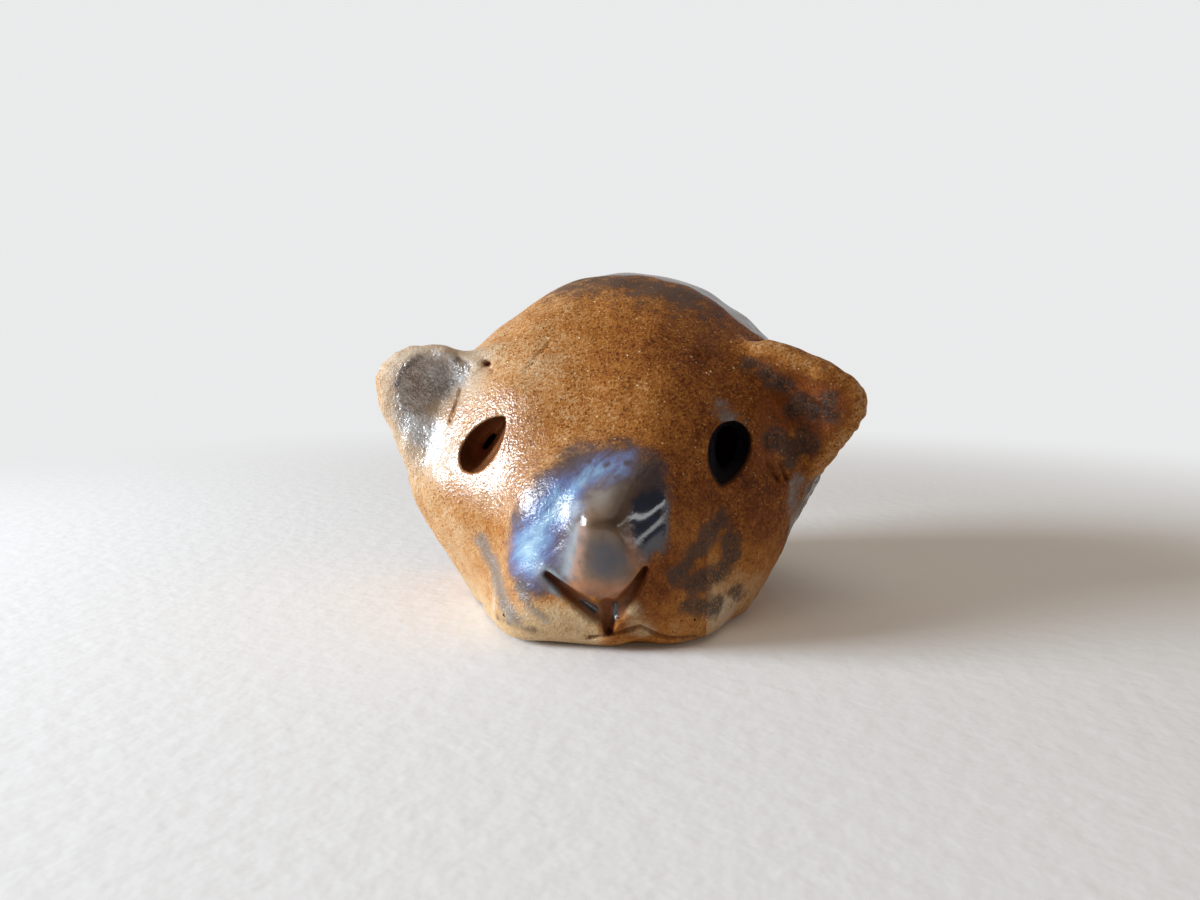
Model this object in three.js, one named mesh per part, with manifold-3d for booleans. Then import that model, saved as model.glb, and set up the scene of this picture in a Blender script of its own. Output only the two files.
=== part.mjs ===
// Hedgehog figurine: a thumb-sized hollow stoneware animal, hand built from pieces of clay that are luted
// together with slip. Millimetres, +Z up. The face looks along -Y, and the origin is on the table under the
// middle of the figurine.
// Left and right are the animal's own: its right ear is at -X.
import * as THREE from 'three';
import { mergeVertices } from 'three/addons/utils/BufferGeometryUtils.js';
import Module from 'manifold-3d';

const wasm = await Module();
wasm.setup();

// Body: an egg-shaped dome, pinched hollow in two halves and open underneath
const bodyHeight = 28.2;
const bellyHeight = 10.5; // height of the widest section
const bellyHalfWidth = 17.9;
const bellyFrontReach = 14.6; // from the belly's middle to the face
const bellyRearReach = 19.4; // from the belly's middle to the rump
const footHalfWidth = 12.4; // the same three sizes at the table
const footFrontReach = 15.2;
const footRearReach = 15.4;
const footCurve = 1.25; // power of the curve from the belly down to the table: 1 is a straight cone
const crownCurve = 1.8; // power of the curve from the belly up to the crown: 2 is round, less is pointed
const crownLeanBack = 3.4; // how far the crown sits behind the belly's middle
const crownLeanLeft = 1.7; // and to its left
const wall = 4.0; // thickness of the pinched clay
const slip = 0.3; // layer of slip in every luted joint
const seamY = 1.6; // where the face half meets the back half

// Foot: a coil under the rim that levels the figurine
const coilHeight = 2.0;
const coilInset = 0.4; // how far the coil stands in from the body's side
const coilWidth = 4.0;

// Snout: a loaf of clay on the front of the face, from just above the table up to between the eyes
const snoutHeight = 6.6; // height of the loaf's middle
const snoutHalfWidth = 8.0;
const snoutHalfHeight = 9.2;
const snoutHalfLength = 9.0; // along the face's axis
const snoutReach = 3.3; // how far the loaf stands out of the face
const snoutSquareness = 2.5; // 2 is an ellipsoid, and more is squarer
const chinSpread = 0.3; // share by which the loaf is wider at the table than at its middle
const chinClearance = 0.6; // between the chin and the table

// Nose: a pinched wedge on the tip of the snout, with heights above the snout's middle
const noseAcross = 0.6; // how far it sits to the animal's left
const noseWidth = 4.8;
const noseRidgeWidth = 3.6;
const noseTopRise = 6.0;
const noseRidgeRise = 4.6;
const noseBottomRise = -1.6;
const noseReach = 2.1; // how far the ridge stands out of the snout
const noseFrontSlope = 0.8; // how far the front facet falls back from the ridge
const noseRounding = 1.2;

// Mouth: two slanting knife cuts that meet in a short upright one, with heights above the snout's middle
const mouthApex = { across: 0.5, rise: -3.2 };
const mouthRightCut = { across: -3.8, rise: -0.9, width: 1.0 };
const mouthLeftCut = { across: 3.3, rise: -0.5, width: 1.0 };
const mouthFootCut = { across: 0.9, rise: -5.4, width: 1.4 };
const mouthDepth = 1.2;
const mouthFloor = 0.5; // least clay that a cut leaves in front of the body
const mouthOverrun = 0.5; // how far each cut runs past the apex

// Eyes: leaf-shaped holes pierced through the wall, with heights above the belly
const rightEye = { across: -9.4, rise: 4.0, length: 5.4, width: 3.1, tilt: -39 };
const leftEye = { across: 9.4, rise: 3.5, length: 5.3, width: 3.5, tilt: 10 };

// Ears: flattened lobes, pressed hollow with a thumb and luted to the sides of the face half.
// Each is a round tip drawn out of a broad root, measured out of the head's side and above the belly.
const rightEar = {
  side: -1,
  tip: { out: 2.4, rise: 7.5, radius: 4.1 },
  rootTop: { out: -2.0, rise: 11.2 },
  rootBottom: { out: 2.7, rise: -0.6 },
  press: { out: 0.9, rise: 8.0, halfWidth: 3.1, halfHeight: 3.5, depth: 1.8 },
};
const leftEar = {
  side: 1,
  tip: { out: 3.7, rise: 7.0, radius: 2.6 },
  rootTop: { out: -2.0, rise: 12.0 },
  rootBottom: { out: 0.8, rise: -2.2 },
  press: { out: 0.1, rise: 5.9, halfWidth: 3.3, halfHeight: 4.0, depth: 1.2 },
};
const earThickness = 3.4;
const earRounding = 1.4;
const earRootDepth = 6.5; // how far the lobe runs on inside the head's outline before it is cut to fit
const earY = -4.6; // middle of the ears' thickness
const earTurn = 6; // degrees that the ears are turned towards the front

// Quills: short strokes cut into the back with a knife, in rings about a line from the nose to the tail
const quillMiddle = { across: 0.6, along: 1.0, height: 9.0 }; // the rings are measured from here
const quillFirst = 100; // degrees between the first ring's start and the nose
const quillStep = 8.6; // degrees that each ring takes
const quillRings = 9;
const quillPitch = 1.9; // between the strokes of a ring
const quillLength = 2.3;
const quillWidth = 0.8;
const quillDepth = 0.4;
const quillSlant = 8; // most degrees that a stroke leans out of its line
const quillLowest = 5.0; // no stroke is lower than this
const quillFromSeam = 3.0; // or nearer to the face half than this

// Facets
const bodySegments = 56;
const bodyRings = 18;
const padSegments = 28;
const padRings = 16;
const curveSteps = 8;
const roundingSteps = 4;

// Handles of the leaf outline's curves, as shares of the leaf's width and length
const leafFoot = { across: 0.75, along: 0.45 };
const leafPoint = { across: 0.6, along: 0.3 };

const quillFewest = 5; // strokes in the smallest ring
const halvings = 40; // steps in the search for a point of the surface
const mergeDistance = 1e-4;
const far = 4 * bodyHeight; // longer than anything here, for cutting tools
const degrees = THREE.MathUtils.degToRad;

// A closed geometry as a solid that can be joined and cut
function solidOf(geometry) {
  const bare = geometry.clone();
  for (const name of Object.keys(bare.attributes)) {
    if (name !== 'position') bare.deleteAttribute(name);
  }
  const merged = mergeVertices(bare, mergeDistance);
  const corners = merged.index.array;
  const triangles = [];
  for (let i = 0; i < corners.length; i += 3) {
    const [a, b, c] = corners.slice(i, i + 3);
    if (a !== b && b !== c && c !== a) triangles.push(a, b, c);
  }
  return new wasm.Manifold(
    new wasm.Mesh({
      numProp: 3,
      vertProperties: new Float32Array(merged.attributes.position.array),
      triVerts: new Uint32Array(triangles),
    }),
  );
}

function geometryOf(solid) {
  const mesh = solid.getMesh();
  const geometry = new THREE.BufferGeometry();
  geometry.setAttribute('position', new THREE.BufferAttribute(mesh.vertProperties, 3));
  geometry.setIndex(new THREE.BufferAttribute(mesh.triVerts, 1));
  geometry.computeVertexNormals();
  return geometry;
}

// Moves every corner of a geometry by a rule that changes a point in place
function reshape(geometry, rule) {
  const position = geometry.attributes.position;
  const point = new THREE.Vector3();
  for (let i = 0; i < position.count; i++) {
    rule(point.fromBufferAttribute(position, i));
    position.setXYZ(i, point.x, point.y, point.z);
  }
  return geometry;
}

// An endless block that fills one side of the plane y = at
function halfSpace(at, side) {
  return solidOf(new THREE.BoxGeometry(far, far, far).translate(0, at + (side * far) / 2, 0));
}

// An endless slab between two heights
function slab(low, high) {
  return solidOf(new THREE.BoxGeometry(far, far, high - low).translate(0, 0, (low + high) / 2));
}

// The body's section at height z: its middle, and its reach to the sides, the front and the rear
function sectionAt(z) {
  const fall = Math.max(0, (bellyHeight - z) / bellyHeight) ** footCurve;
  const share = (z / bodyHeight) ** 2;
  return {
    across: crownLeanLeft * share,
    back: crownLeanBack * share,
    side: THREE.MathUtils.lerp(bellyHalfWidth, footHalfWidth, fall),
    front: THREE.MathUtils.lerp(bellyFrontReach, footFrontReach, fall),
    rear: THREE.MathUtils.lerp(bellyRearReach, footRearReach, fall),
  };
}

// Share of its section that the dome has at height z: all of it up to the belly, and none at the crown
function domeShare(z, height) {
  const rise = THREE.MathUtils.clamp((z - bellyHeight) / (height - bellyHeight), 0, 1);
  return (1 - rise ** crownCurve) ** (1 / crownCurve);
}

// The body's solid egg, grown outwards or shrunk inwards, standing on the plane z = floor
function eggSolid(grow, floor) {
  const height = bodyHeight + grow;
  const profile = [new THREE.Vector2(0, floor)];
  for (let i = 0; i < bodyRings; i++) {
    const turn = (i / bodyRings) * (Math.PI / 2);
    const z = floor + (height - floor) * Math.sin(turn);
    profile.push(new THREE.Vector2(domeShare(z, height), z));
  }
  profile.push(new THREE.Vector2(0, height));
  const revolved = new THREE.LatheGeometry(profile, bodySegments).rotateX(Math.PI / 2);
  const egg = reshape(revolved, (point) => {
    const section = sectionAt(Math.max(0, point.z));
    const reach = point.y < 0 ? section.front : section.rear;
    point.x = section.across + point.x * (section.side + grow);
    point.y = section.back + point.y * (reach + grow);
  });
  return solidOf(egg);
}

// Where the body's surface is on the face, at a place across and a height
function faceY(across, z) {
  const section = sectionAt(z);
  const share = domeShare(z, bodyHeight);
  const off = Math.min(1, Math.abs(across - section.across) / (section.side * share));
  return section.back - section.front * share * Math.sqrt(1 - off * off);
}

// Where the body's surface is on one side, at a height and a place along
function sideX(side, z, y) {
  const section = sectionAt(z);
  const share = domeShare(z, bodyHeight);
  const reach = y < section.back ? section.front : section.rear;
  const off = Math.min(1, Math.abs(y - section.back) / (reach * share));
  return section.across + side * section.side * share * Math.sqrt(1 - off * off);
}

const bodyOutside = eggSolid(0, 0);
const bodyInside = eggSolid(-wall, -slip);
const bodySeat = eggSolid(slip, 0); // what is luted to the body stays outside this

// A leaf-shaped outline about the origin, long in y, with its point at the upper end
function leafShape(length, width) {
  const shape = new THREE.Shape();
  const foot = { x: leafFoot.across * width, y: -leafFoot.along * length };
  const point = { x: leafPoint.across * width, y: leafPoint.along * length };
  shape.moveTo(0, -length / 2);
  shape.bezierCurveTo(foot.x, foot.y, point.x, point.y, 0, length / 2);
  shape.bezierCurveTo(-point.x, point.y, -foot.x, foot.y, 0, -length / 2);
  return shape;
}

function leafBar(length, width, depth) {
  return new THREE.ExtrudeGeometry(leafShape(length, width), {
    depth,
    bevelEnabled: false,
    curveSegments: curveSteps,
  });
}

// The tool that pierces one eye
function eyeTool(eye) {
  const height = bellyHeight + eye.rise;
  const bore = leafBar(eye.length, eye.width, 4 * wall);
  bore.translate(0, 0, -2 * wall);
  bore.rotateZ(degrees(eye.tilt));
  bore.rotateX(Math.PI / 2);
  bore.translate(eye.across, faceY(eye.across, height), height);
  return solidOf(bore);
}

// One half of the hollow body, cut off above the foot
function bodyHalf(side) {
  const shell = bodyOutside.subtract(bodyInside).intersect(slab(coilHeight + slip, far));
  return shell.intersect(halfSpace(seamY + (side * slip) / 2, side));
}

const faceHalf = bodyHalf(-1).subtract(eyeTool(rightEye)).subtract(eyeTool(leftEye));

// Where the body's surface is, seen from the quills' middle: an angle from the nose, and a turn about it
function surfacePoint(angle, turn) {
  const start = new THREE.Vector3(quillMiddle.across, quillMiddle.along, quillMiddle.height);
  const way = new THREE.Vector3(Math.sin(turn), 0, Math.cos(turn)).multiplyScalar(Math.sin(angle));
  way.y = -Math.cos(angle);
  let inside = 0;
  let outside = far;
  for (let i = 0; i < halvings; i++) {
    const reach = (inside + outside) / 2;
    const point = start.clone().addScaledVector(way, reach);
    const section = sectionAt(Math.max(0, point.z));
    const share = domeShare(point.z, bodyHeight);
    const along = point.y - section.back;
    const across = (point.x - section.across) / section.side;
    const out = Math.hypot(across, along / (along < 0 ? section.front : section.rear));
    if (out < share) inside = reach;
    else outside = reach;
  }
  return start.addScaledVector(way, inside);
}

// One quill stroke: a long thin diamond, sunk by half into the surface
function quillTool(angle, turn, slant) {
  const nudge = degrees(1);
  const place = surfacePoint(angle, turn);
  const along = surfacePoint(angle + nudge, turn).sub(surfacePoint(angle - nudge, turn)).normalize();
  const beside = surfacePoint(angle, turn + nudge).sub(surfacePoint(angle, turn - nudge)).normalize();
  const outwards = beside.clone().cross(along).normalize();
  along.applyAxisAngle(outwards, slant);
  beside.crossVectors(along, outwards);
  const diamond = new THREE.OctahedronGeometry(1).scale(quillWidth / 2, quillLength / 2, quillDepth);
  diamond.applyMatrix4(new THREE.Matrix4().makeBasis(beside, along, outwards).setPosition(place));
  return { solid: solidOf(diamond), place };
}

// All the strokes of the back: as many in each ring as fit, staggered from ring to ring
function quills() {
  const strokes = [];
  for (let ring = 0; ring < quillRings; ring++) {
    const angle = degrees(quillFirst + (ring + 0.5) * quillStep);
    const top = surfacePoint(angle, 0);
    const ringReach = Math.hypot(top.x - quillMiddle.across, top.z - quillMiddle.height);
    const count = Math.max(quillFewest, Math.round((2 * Math.PI * ringReach) / quillPitch));
    for (let i = 0; i < count; i++) {
      const turn = ((i + (ring % 2) / 2) / count) * 2 * Math.PI;
      const slant = degrees(quillSlant) * Math.sin(ring * 5 + i * 3);
      const stroke = quillTool(angle, turn, slant);
      const { y, z } = stroke.place;
      if (z > quillLowest && y > seamY + quillFromSeam) strokes.push(stroke.solid);
    }
  }
  return strokes;
}

const backHalf = quills().reduce((clay, stroke) => clay.subtract(stroke), bodyHalf(1));

// Foot coil: the body's outline at the table, stood in and hollowed
const footCoil = eggSolid(-coilInset, 0)
  .subtract(eggSolid(-coilInset - coilWidth, -slip))
  .intersect(slab(0, coilHeight));

// Snout loaf, grown outwards or shrunk inwards: a ball squared off
const snoutMiddleY = faceY(0, snoutHeight) - snoutReach + snoutHalfLength;
function snoutLoaf(grow) {
  const ball = new THREE.SphereGeometry(1, padSegments, padRings).rotateX(Math.PI / 2);
  const loaf = reshape(ball, (point) => {
    const powers = point.toArray().map((part) => Math.abs(part) ** snoutSquareness);
    point.divideScalar((powers[0] + powers[1] + powers[2]) ** (1 / snoutSquareness));
  });
  loaf.scale(snoutHalfWidth + grow, snoutHalfLength + grow, snoutHalfHeight + grow);
  loaf.translate(0, snoutMiddleY, snoutHeight);
  reshape(loaf, (point) => {
    const below = THREE.MathUtils.clamp((snoutHeight - point.z) / snoutHeight, 0, 1);
    point.x *= 1 + chinSpread * below;
  });
  return solidOf(loaf);
}

// One knife cut of the mouth: a leaf in the front view that runs a little past the apex
function mouthTool(cut) {
  const start = new THREE.Vector2(cut.across, snoutHeight + cut.rise);
  const apex = new THREE.Vector2(mouthApex.across, snoutHeight + mouthApex.rise);
  const end = apex.clone().sub(start).setLength(mouthOverrun).add(apex);
  const run = end.clone().sub(start);
  const bar = leafBar(run.length(), cut.width, far);
  bar.rotateZ(run.angle() - Math.PI / 2);
  bar.rotateX(Math.PI / 2);
  bar.translate((start.x + end.x) / 2, snoutMiddleY, (start.y + end.y) / 2);
  return solidOf(bar);
}

const mouth = mouthTool(mouthRightCut)
  .add(mouthTool(mouthLeftCut))
  .add(mouthTool(mouthFootCut))
  .subtract(snoutLoaf(-mouthDepth))
  .subtract(eggSolid(slip + mouthFloor, 0));

const snout = snoutLoaf(0)
  .subtract(mouth)
  .subtract(bodySeat)
  .intersect(slab(chinClearance, far));

// Nose: its side profile, with a sloping bridge, a ridge and a front facet, run across and tapered
function noseSolid() {
  const rounding = Math.min(noseRounding, noseRidgeWidth / 2 - slip);
  const tip = snoutMiddleY - snoutHalfLength - noseReach + rounding;
  const bottom = snoutHeight + noseBottomRise + rounding;
  const ridge = snoutHeight + noseRidgeRise - rounding;
  const top = snoutHeight + noseTopRise - rounding;
  const snoutFront = snoutMiddleY - snoutHalfLength + rounding;
  const profile = new THREE.Shape();
  profile.moveTo(snoutMiddleY, bottom);
  profile.lineTo(snoutMiddleY, top);
  profile.lineTo(snoutFront, top);
  profile.lineTo((snoutFront + tip) / 2, (top + ridge) / 2);
  profile.quadraticCurveTo(tip, ridge, tip + noseFrontSlope / 2, (ridge + bottom) / 2);
  profile.lineTo(tip + noseFrontSlope, bottom);
  const across = noseWidth - 2 * rounding;
  const wedge = new THREE.ExtrudeGeometry(profile, {
    depth: across,
    bevelThickness: rounding,
    bevelSize: rounding,
    bevelSegments: roundingSteps,
    curveSegments: curveSteps,
  });
  wedge.translate(0, 0, -across / 2);
  wedge.rotateY(Math.PI / 2).rotateX(Math.PI / 2);
  const taper = noseRidgeWidth / noseWidth;
  reshape(wedge, (point) => {
    const climb = (point.z - snoutHeight - noseBottomRise) / (noseRidgeRise - noseBottomRise);
    point.x = noseAcross + point.x * THREE.MathUtils.lerp(1, taper, climb);
  });
  return solidOf(wedge);
}

const nose = noseSolid().subtract(snoutLoaf(slip)).subtract(bodySeat);

// Where a line from a point touches a circle, as an angle about the circle's centre
function touchAngle(point, circle, turn) {
  const out = point.out - circle.out;
  const rise = point.rise - circle.rise;
  return Math.atan2(rise, out) + turn * Math.acos(circle.radius / Math.hypot(out, rise));
}

// An ear's outline in the front view: a round tip, and straight edges that run on into the head
function earShape(ear) {
  const { side, tip, rootTop, rootBottom } = ear;
  const upper = touchAngle(rootTop, tip, -1);
  const lower = touchAngle(rootBottom, tip, 1);
  const seen = (angle) => (side > 0 ? angle : Math.PI - angle);
  const shape = new THREE.Shape();
  shape.moveTo(-side * earRootDepth, rootTop.rise);
  shape.lineTo(side * rootTop.out, rootTop.rise);
  shape.absarc(side * tip.out, tip.rise, tip.radius, seen(upper), seen(lower), side > 0);
  shape.lineTo(side * rootBottom.out, rootBottom.rise);
  shape.lineTo(-side * earRootDepth, rootBottom.rise);
  return shape;
}

// An ear: its outline as a soft-edged lobe, pressed by a thumb in front, and stood on its side of the head
function earSolid(ear) {
  const rounding = Math.min(earRounding, earThickness / 2 - slip);
  const flat = earThickness - 2 * rounding;
  const lobe = new THREE.ExtrudeGeometry(earShape(ear), {
    depth: flat,
    bevelThickness: rounding,
    bevelSize: rounding,
    bevelOffset: -rounding,
    bevelSegments: roundingSteps,
    curveSegments: curveSteps,
  });
  lobe.translate(0, 0, -flat / 2);
  const { out, rise, halfWidth, halfHeight, depth } = ear.press;
  const thumb = new THREE.SphereGeometry(1, padSegments, padRings);
  thumb.scale(halfWidth, halfHeight, 2 * depth);
  thumb.translate(ear.side * out, rise, earThickness / 2 + depth);
  const pressed = geometryOf(solidOf(lobe).subtract(solidOf(thumb)));
  const headSide = sideX(ear.side, bellyHeight + ear.tip.rise, earY);
  pressed.rotateX(Math.PI / 2);
  pressed.rotateZ(degrees(-ear.side * earTurn));
  pressed.translate(headSide, earY, bellyHeight);
  return solidOf(pressed).subtract(bodySeat);
}

// Finishes: iron-stained clay in front, a dark gloss glaze behind, and blue glaze on the snout
function fired(colour, roughness) {
  return new THREE.MeshStandardMaterial({ color: colour, roughness, metalness: 0 });
}
const stainedClay = fired(0x8a5a2b, 0.6);
const darkGlaze = fired(0x3a2a20, 0.2);
const paleClay = fired(0xb08a5e, 0.75);
const blueGlaze = fired(0x6f7fb0, 0.2);
const greyGlaze = fired(0x5f5b5a, 0.25);

const pieces = new THREE.Group();
function place(name, solid, material) {
  const mesh = new THREE.Mesh(geometryOf(solid), material);
  mesh.name = name;
  pieces.add(mesh);
}

place('face_half', faceHalf, stainedClay);
place('back_half', backHalf, darkGlaze);
place('foot_coil', footCoil, paleClay);
place('snout_pad', snout, blueGlaze);
place('nose_tip', nose, greyGlaze);
place('right_ear', earSolid(rightEar), stainedClay);
place('left_ear', earSolid(leftEar), stainedClay);

// Stand the figurine with the middle of its outline over the origin
const extent = new THREE.Box3().setFromObject(pieces);
const middle = extent.getCenter(new THREE.Vector3());
pieces.position.set(-middle.x, -middle.y, -extent.min.z);

const figurine = new THREE.Group();
figurine.add(pieces);

export default figurine;
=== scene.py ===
"""Looks of a hedgehog figurine: stained stoneware with a blue-glazed snout and a dark glazed back.

The clay is one field, negative inside, in millimetres from the middle of the foot. Each piece is a closed
net of that field, cut where the clay was luted, so that neighbouring pieces meet without a gap.
"""
import math
from functools import partial

import bpy
import numpy as np
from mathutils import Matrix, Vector


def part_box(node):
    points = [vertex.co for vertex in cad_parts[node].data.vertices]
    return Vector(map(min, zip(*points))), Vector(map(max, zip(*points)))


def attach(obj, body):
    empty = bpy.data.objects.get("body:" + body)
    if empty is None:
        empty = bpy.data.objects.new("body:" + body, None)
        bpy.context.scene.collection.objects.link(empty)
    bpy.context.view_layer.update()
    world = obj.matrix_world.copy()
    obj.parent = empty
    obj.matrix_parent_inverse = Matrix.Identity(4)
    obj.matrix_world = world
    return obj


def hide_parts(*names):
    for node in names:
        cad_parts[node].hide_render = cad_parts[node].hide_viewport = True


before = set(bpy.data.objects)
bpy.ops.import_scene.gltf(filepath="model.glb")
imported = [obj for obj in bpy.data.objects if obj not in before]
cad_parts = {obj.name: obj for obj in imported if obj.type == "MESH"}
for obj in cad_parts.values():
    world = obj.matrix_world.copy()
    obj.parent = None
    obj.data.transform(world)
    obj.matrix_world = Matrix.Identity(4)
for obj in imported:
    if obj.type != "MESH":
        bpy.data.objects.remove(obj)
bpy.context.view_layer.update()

MM = 0.001


def node_box(node):
    """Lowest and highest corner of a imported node, in millimetres."""
    low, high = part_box(node)
    return np.array(low) / MM, np.array(high) / MM


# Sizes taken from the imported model
FOOT_LOW, FOOT_HIGH = node_box("foot_coil")
FACE_LOW, FACE_HIGH = node_box("face_half")
BACK_LOW, BACK_HIGH = node_box("back_half")
BODY_HEIGHT = BACK_HIGH[2]
SEAM_Y = 1.6
MIDDLE = np.array([(FOOT_LOW[0] + FOOT_HIGH[0]) / 2, (FACE_HIGH[1] + BACK_LOW[1]) / 2 - SEAM_Y, 0.0])
FOOT_TOP = (FOOT_HIGH[2] + FACE_LOW[2]) / 2

# Body
BELLY_HEIGHT = 10.5
BELLY = {"side": 17.9, "front": 14.6, "rear": 19.4}
FOOT = {"side": 12.4, "front": 15.2, "rear": 15.4}
FOOT_CURVE = 1.25
CROWN_CURVE = 1.8  # 2 is an ellipsoid, and less is more pointed
LEAN_BACK = 3.4
LEAN_LEFT = 1.7
WALL = 4.0
LUTE_DEPTH = 0.6  # how deep under the plain form a luted piece reaches
BOTTOM_ROUNDING = 0.9
HOLLOW_ROUNDING = 0.6

# Snout and nose
SNOUT_HEIGHT = 6.6
SNOUT_MIDDLE = np.array([0.0, -8.89, SNOUT_HEIGHT])
SNOUT_HALF = np.array([8.0, 9.0, 9.2])
SNOUT_SQUARENESS = 2.5
CHIN_CLEARANCE = 0.5
CHIN_SPREAD = 0.3  # share by which the loaf is wider at its foot
CHIN_ROUNDING = 0.8
SNOUT_FILLET = 1.7
NOSE_RIDGE = np.array([0.38, -19.8, 10.4])

# Ears, measured out of the head's side and above the belly
EAR_THICKNESS = 3.4
EAR_ROOT_DEPTH = 6.5
EAR_Y = -4.6
EAR_TURN = 6
EAR_ROUNDING = 2.2
EAR_FILLET = 0.9
PRESS_ROUNDING = 0.7
EAR_ARC_POINTS = 14
FRONT_END = EAR_Y + 1.2  # how far back the marks and paint of the front reach
RIGHT_EAR = {
    "side": -1,
    "tip": (2.4, 7.5),
    "radius": 4.1,
    "root_top": (-2.0, 11.2),
    "root_bottom": (2.7, -0.6),
    "press": (0.9, 8.0),
    "press_half": (3.1, 3.5),
    "press_depth": 1.8,
    "box": ((-24, -10, 5), (-6, 1, 27)),
}
LEFT_EAR = {
    "side": 1,
    "tip": (3.7, 7.0),
    "radius": 2.6,
    "root_top": (-2.0, 12.0),
    "root_bottom": (0.8, -2.2),
    "press": (0.1, 5.9),
    "press_half": (3.3, 4.0),
    "press_depth": 1.2,
    "box": ((6, -10, 5), (24, 1, 27)),
}

# Eyes, across and above the table, and how much each narrows on each side for a millimetre of depth
EYE_RIM = 0.15
EYE_STRAIGHT = 0.8  # how deep a hole goes before it narrows
EYE_Y = -8.0
EYE_BOX = np.array([6.0, 7.0, 5.0])  # half the box that a hole is worked out in
RIGHT_EYE = {"across": -9.4, "height": 14.5, "length": 5.4, "width": 2.8, "tilt": -39, "taper": 0.43}
LEFT_EYE = {"across": 9.65, "height": 13.85, "length": 5.1, "width": 3.4, "tilt": 167, "taper": 0.3}

FAR = 50.0
BLOCK = 200_000  # points that a field is worked out for at a time
FLATTEST = 1e-4  # least slope that a field is divided by
HALVINGS = 40


def smooth_union(a, b, reach):
    """Joins two fields with a fillet."""
    share = np.clip(0.5 + 0.5 * (b - a) / reach, 0, 1)
    return b + (a - b) * share - reach * share * (1 - share)


def smooth_overlap(a, b, reach):
    """What two fields share, with the edge rounded."""
    return -smooth_union(-a, -b, reach)


def smoothstep(value, low, high):
    share = np.clip((value - low) / (high - low), 0, 1)
    return share * share * (3 - 2 * share)


WAVES = 14  # how many are summed


def waves(points, height, pitch, seed):
    """Smooth noise of a certain spread, whose swells are pitch millimetres apart."""
    draw = np.random.default_rng(seed)
    directions = draw.normal(size=(WAVES, 3))
    directions *= 2 * math.pi / pitch / np.linalg.norm(directions, axis=1)[:, None]
    phases = draw.uniform(0, 2 * math.pi, WAVES)
    total = np.zeros(len(points))
    for direction, phase in zip(directions, phases):
        total += np.cos(points @ direction + phase)
    return height * total / math.sqrt(WAVES / 2)


def path_distance(flat, path):
    """Distance of points in a plane from a path, and the nearest place along it from 0 to 1."""
    path = np.array(path, float)
    nearest = np.full(len(flat), FAR)
    place = np.zeros(len(flat))
    runs = len(path) - 1
    for i in range(runs):
        start, run = path[i], path[i + 1] - path[i]
        share = np.clip((flat - start) @ run / (run @ run), 0, 1)
        distance = np.linalg.norm(flat - start - share[:, None] * run, axis=1)
        closer = distance < nearest
        nearest = np.where(closer, distance, nearest)
        place = np.where(closer, (i + share) / runs, place)
    return nearest, place


def outline_distance(flat, outline):
    """Signed distance of points in a plane from a closed outline, negative inside."""
    outline = np.array(outline, float)
    nearest, _ = path_distance(flat, np.vstack([outline, outline[:1]]))
    inside = np.zeros(len(flat), bool)
    x, y = flat[:, 0], flat[:, 1]
    for (ax, ay), (bx, by) in zip(outline, np.roll(outline, -1, 0)):
        if ay != by:
            crosses = (ay > y) != (by > y)
            inside ^= crosses & (x < ax + (y - ay) * (bx - ax) / (by - ay))
    return np.where(inside, -nearest, nearest)


def within(points, low, high):
    """Which points lie in a box."""
    return np.all((points > low) & (points < high), axis=1)


def near_box(points, low, high, rule):
    """A rule's field inside a box, and far away elsewhere."""
    inside = within(points, low, high)
    field = np.full(len(points), FAR)
    if inside.any():
        field[inside] = rule(points[inside])
    return field


def turned(flat, degrees):
    """Points in a plane, turned anticlockwise."""
    c, s = math.cos(math.radians(degrees)), math.sin(math.radians(degrees))
    return flat @ np.array([[c, s], [-s, c]])


def egg(points, grow=0.0):
    """The body's egg, grown outwards or shrunk inwards."""
    x, y, z = points.T
    dome = BODY_HEIGHT + grow - BELLY_HEIGHT
    fall = np.clip((BELLY_HEIGHT - z) / BELLY_HEIGHT, 0, None) ** FOOT_CURVE
    lean = (np.clip(z, 0, None) / BODY_HEIGHT) ** 2
    across, back = x - LEAN_LEFT * lean, y - LEAN_BACK * lean
    side, front, rear = (BELLY[k] + (FOOT[k] - BELLY[k]) * fall + grow for k in ("side", "front", "rear"))
    reach = np.where(back < 0, front, rear)
    rise = np.clip(z - BELLY_HEIGHT, 0, None) / dome
    u, v = across / side, back / reach
    out = np.maximum(np.hypot(u, v), 1e-6)
    share = (out ** CROWN_CURVE + rise ** CROWN_CURVE) ** (1 / CROWN_CURVE)
    slope_out = out ** (CROWN_CURVE - 2) * np.hypot(u / side, v / reach)
    slope_up = rise ** (CROWN_CURVE - 1) / dome
    slope = share ** (1 - CROWN_CURVE) * np.hypot(slope_out, slope_up)
    return (share - 1) / np.maximum(slope, FLATTEST)


def surface_reach(start, way):
    """How far the egg's surface is from a place inside it."""
    inside, outside = 0.0, FAR
    for _ in range(HALVINGS):
        reach = (inside + outside) / 2
        if egg(np.array([start]) + reach * np.array([way]))[0] < 0:
            inside = reach
        else:
            outside = reach
    return inside


def loaf(points):
    """The snout's loaf of clay: a ball squared off."""
    part = np.abs(points - SNOUT_MIDDLE) / SNOUT_HALF
    below = np.clip((SNOUT_HEIGHT - points[:, 2]) / SNOUT_HEIGHT, 0, 1)
    part[:, 0] /= 1 + CHIN_SPREAD * below
    n = SNOUT_SQUARENESS
    total = np.maximum((part ** n).sum(1), 1e-9)
    slope = total ** (1 / n - 1) * np.linalg.norm(part ** (n - 1) / SNOUT_HALF, axis=1)
    squared = (total ** (1 / n) - 1) / np.maximum(slope, FLATTEST)
    return smooth_overlap(squared, CHIN_CLEARANCE - points[:, 2], CHIN_ROUNDING)


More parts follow.
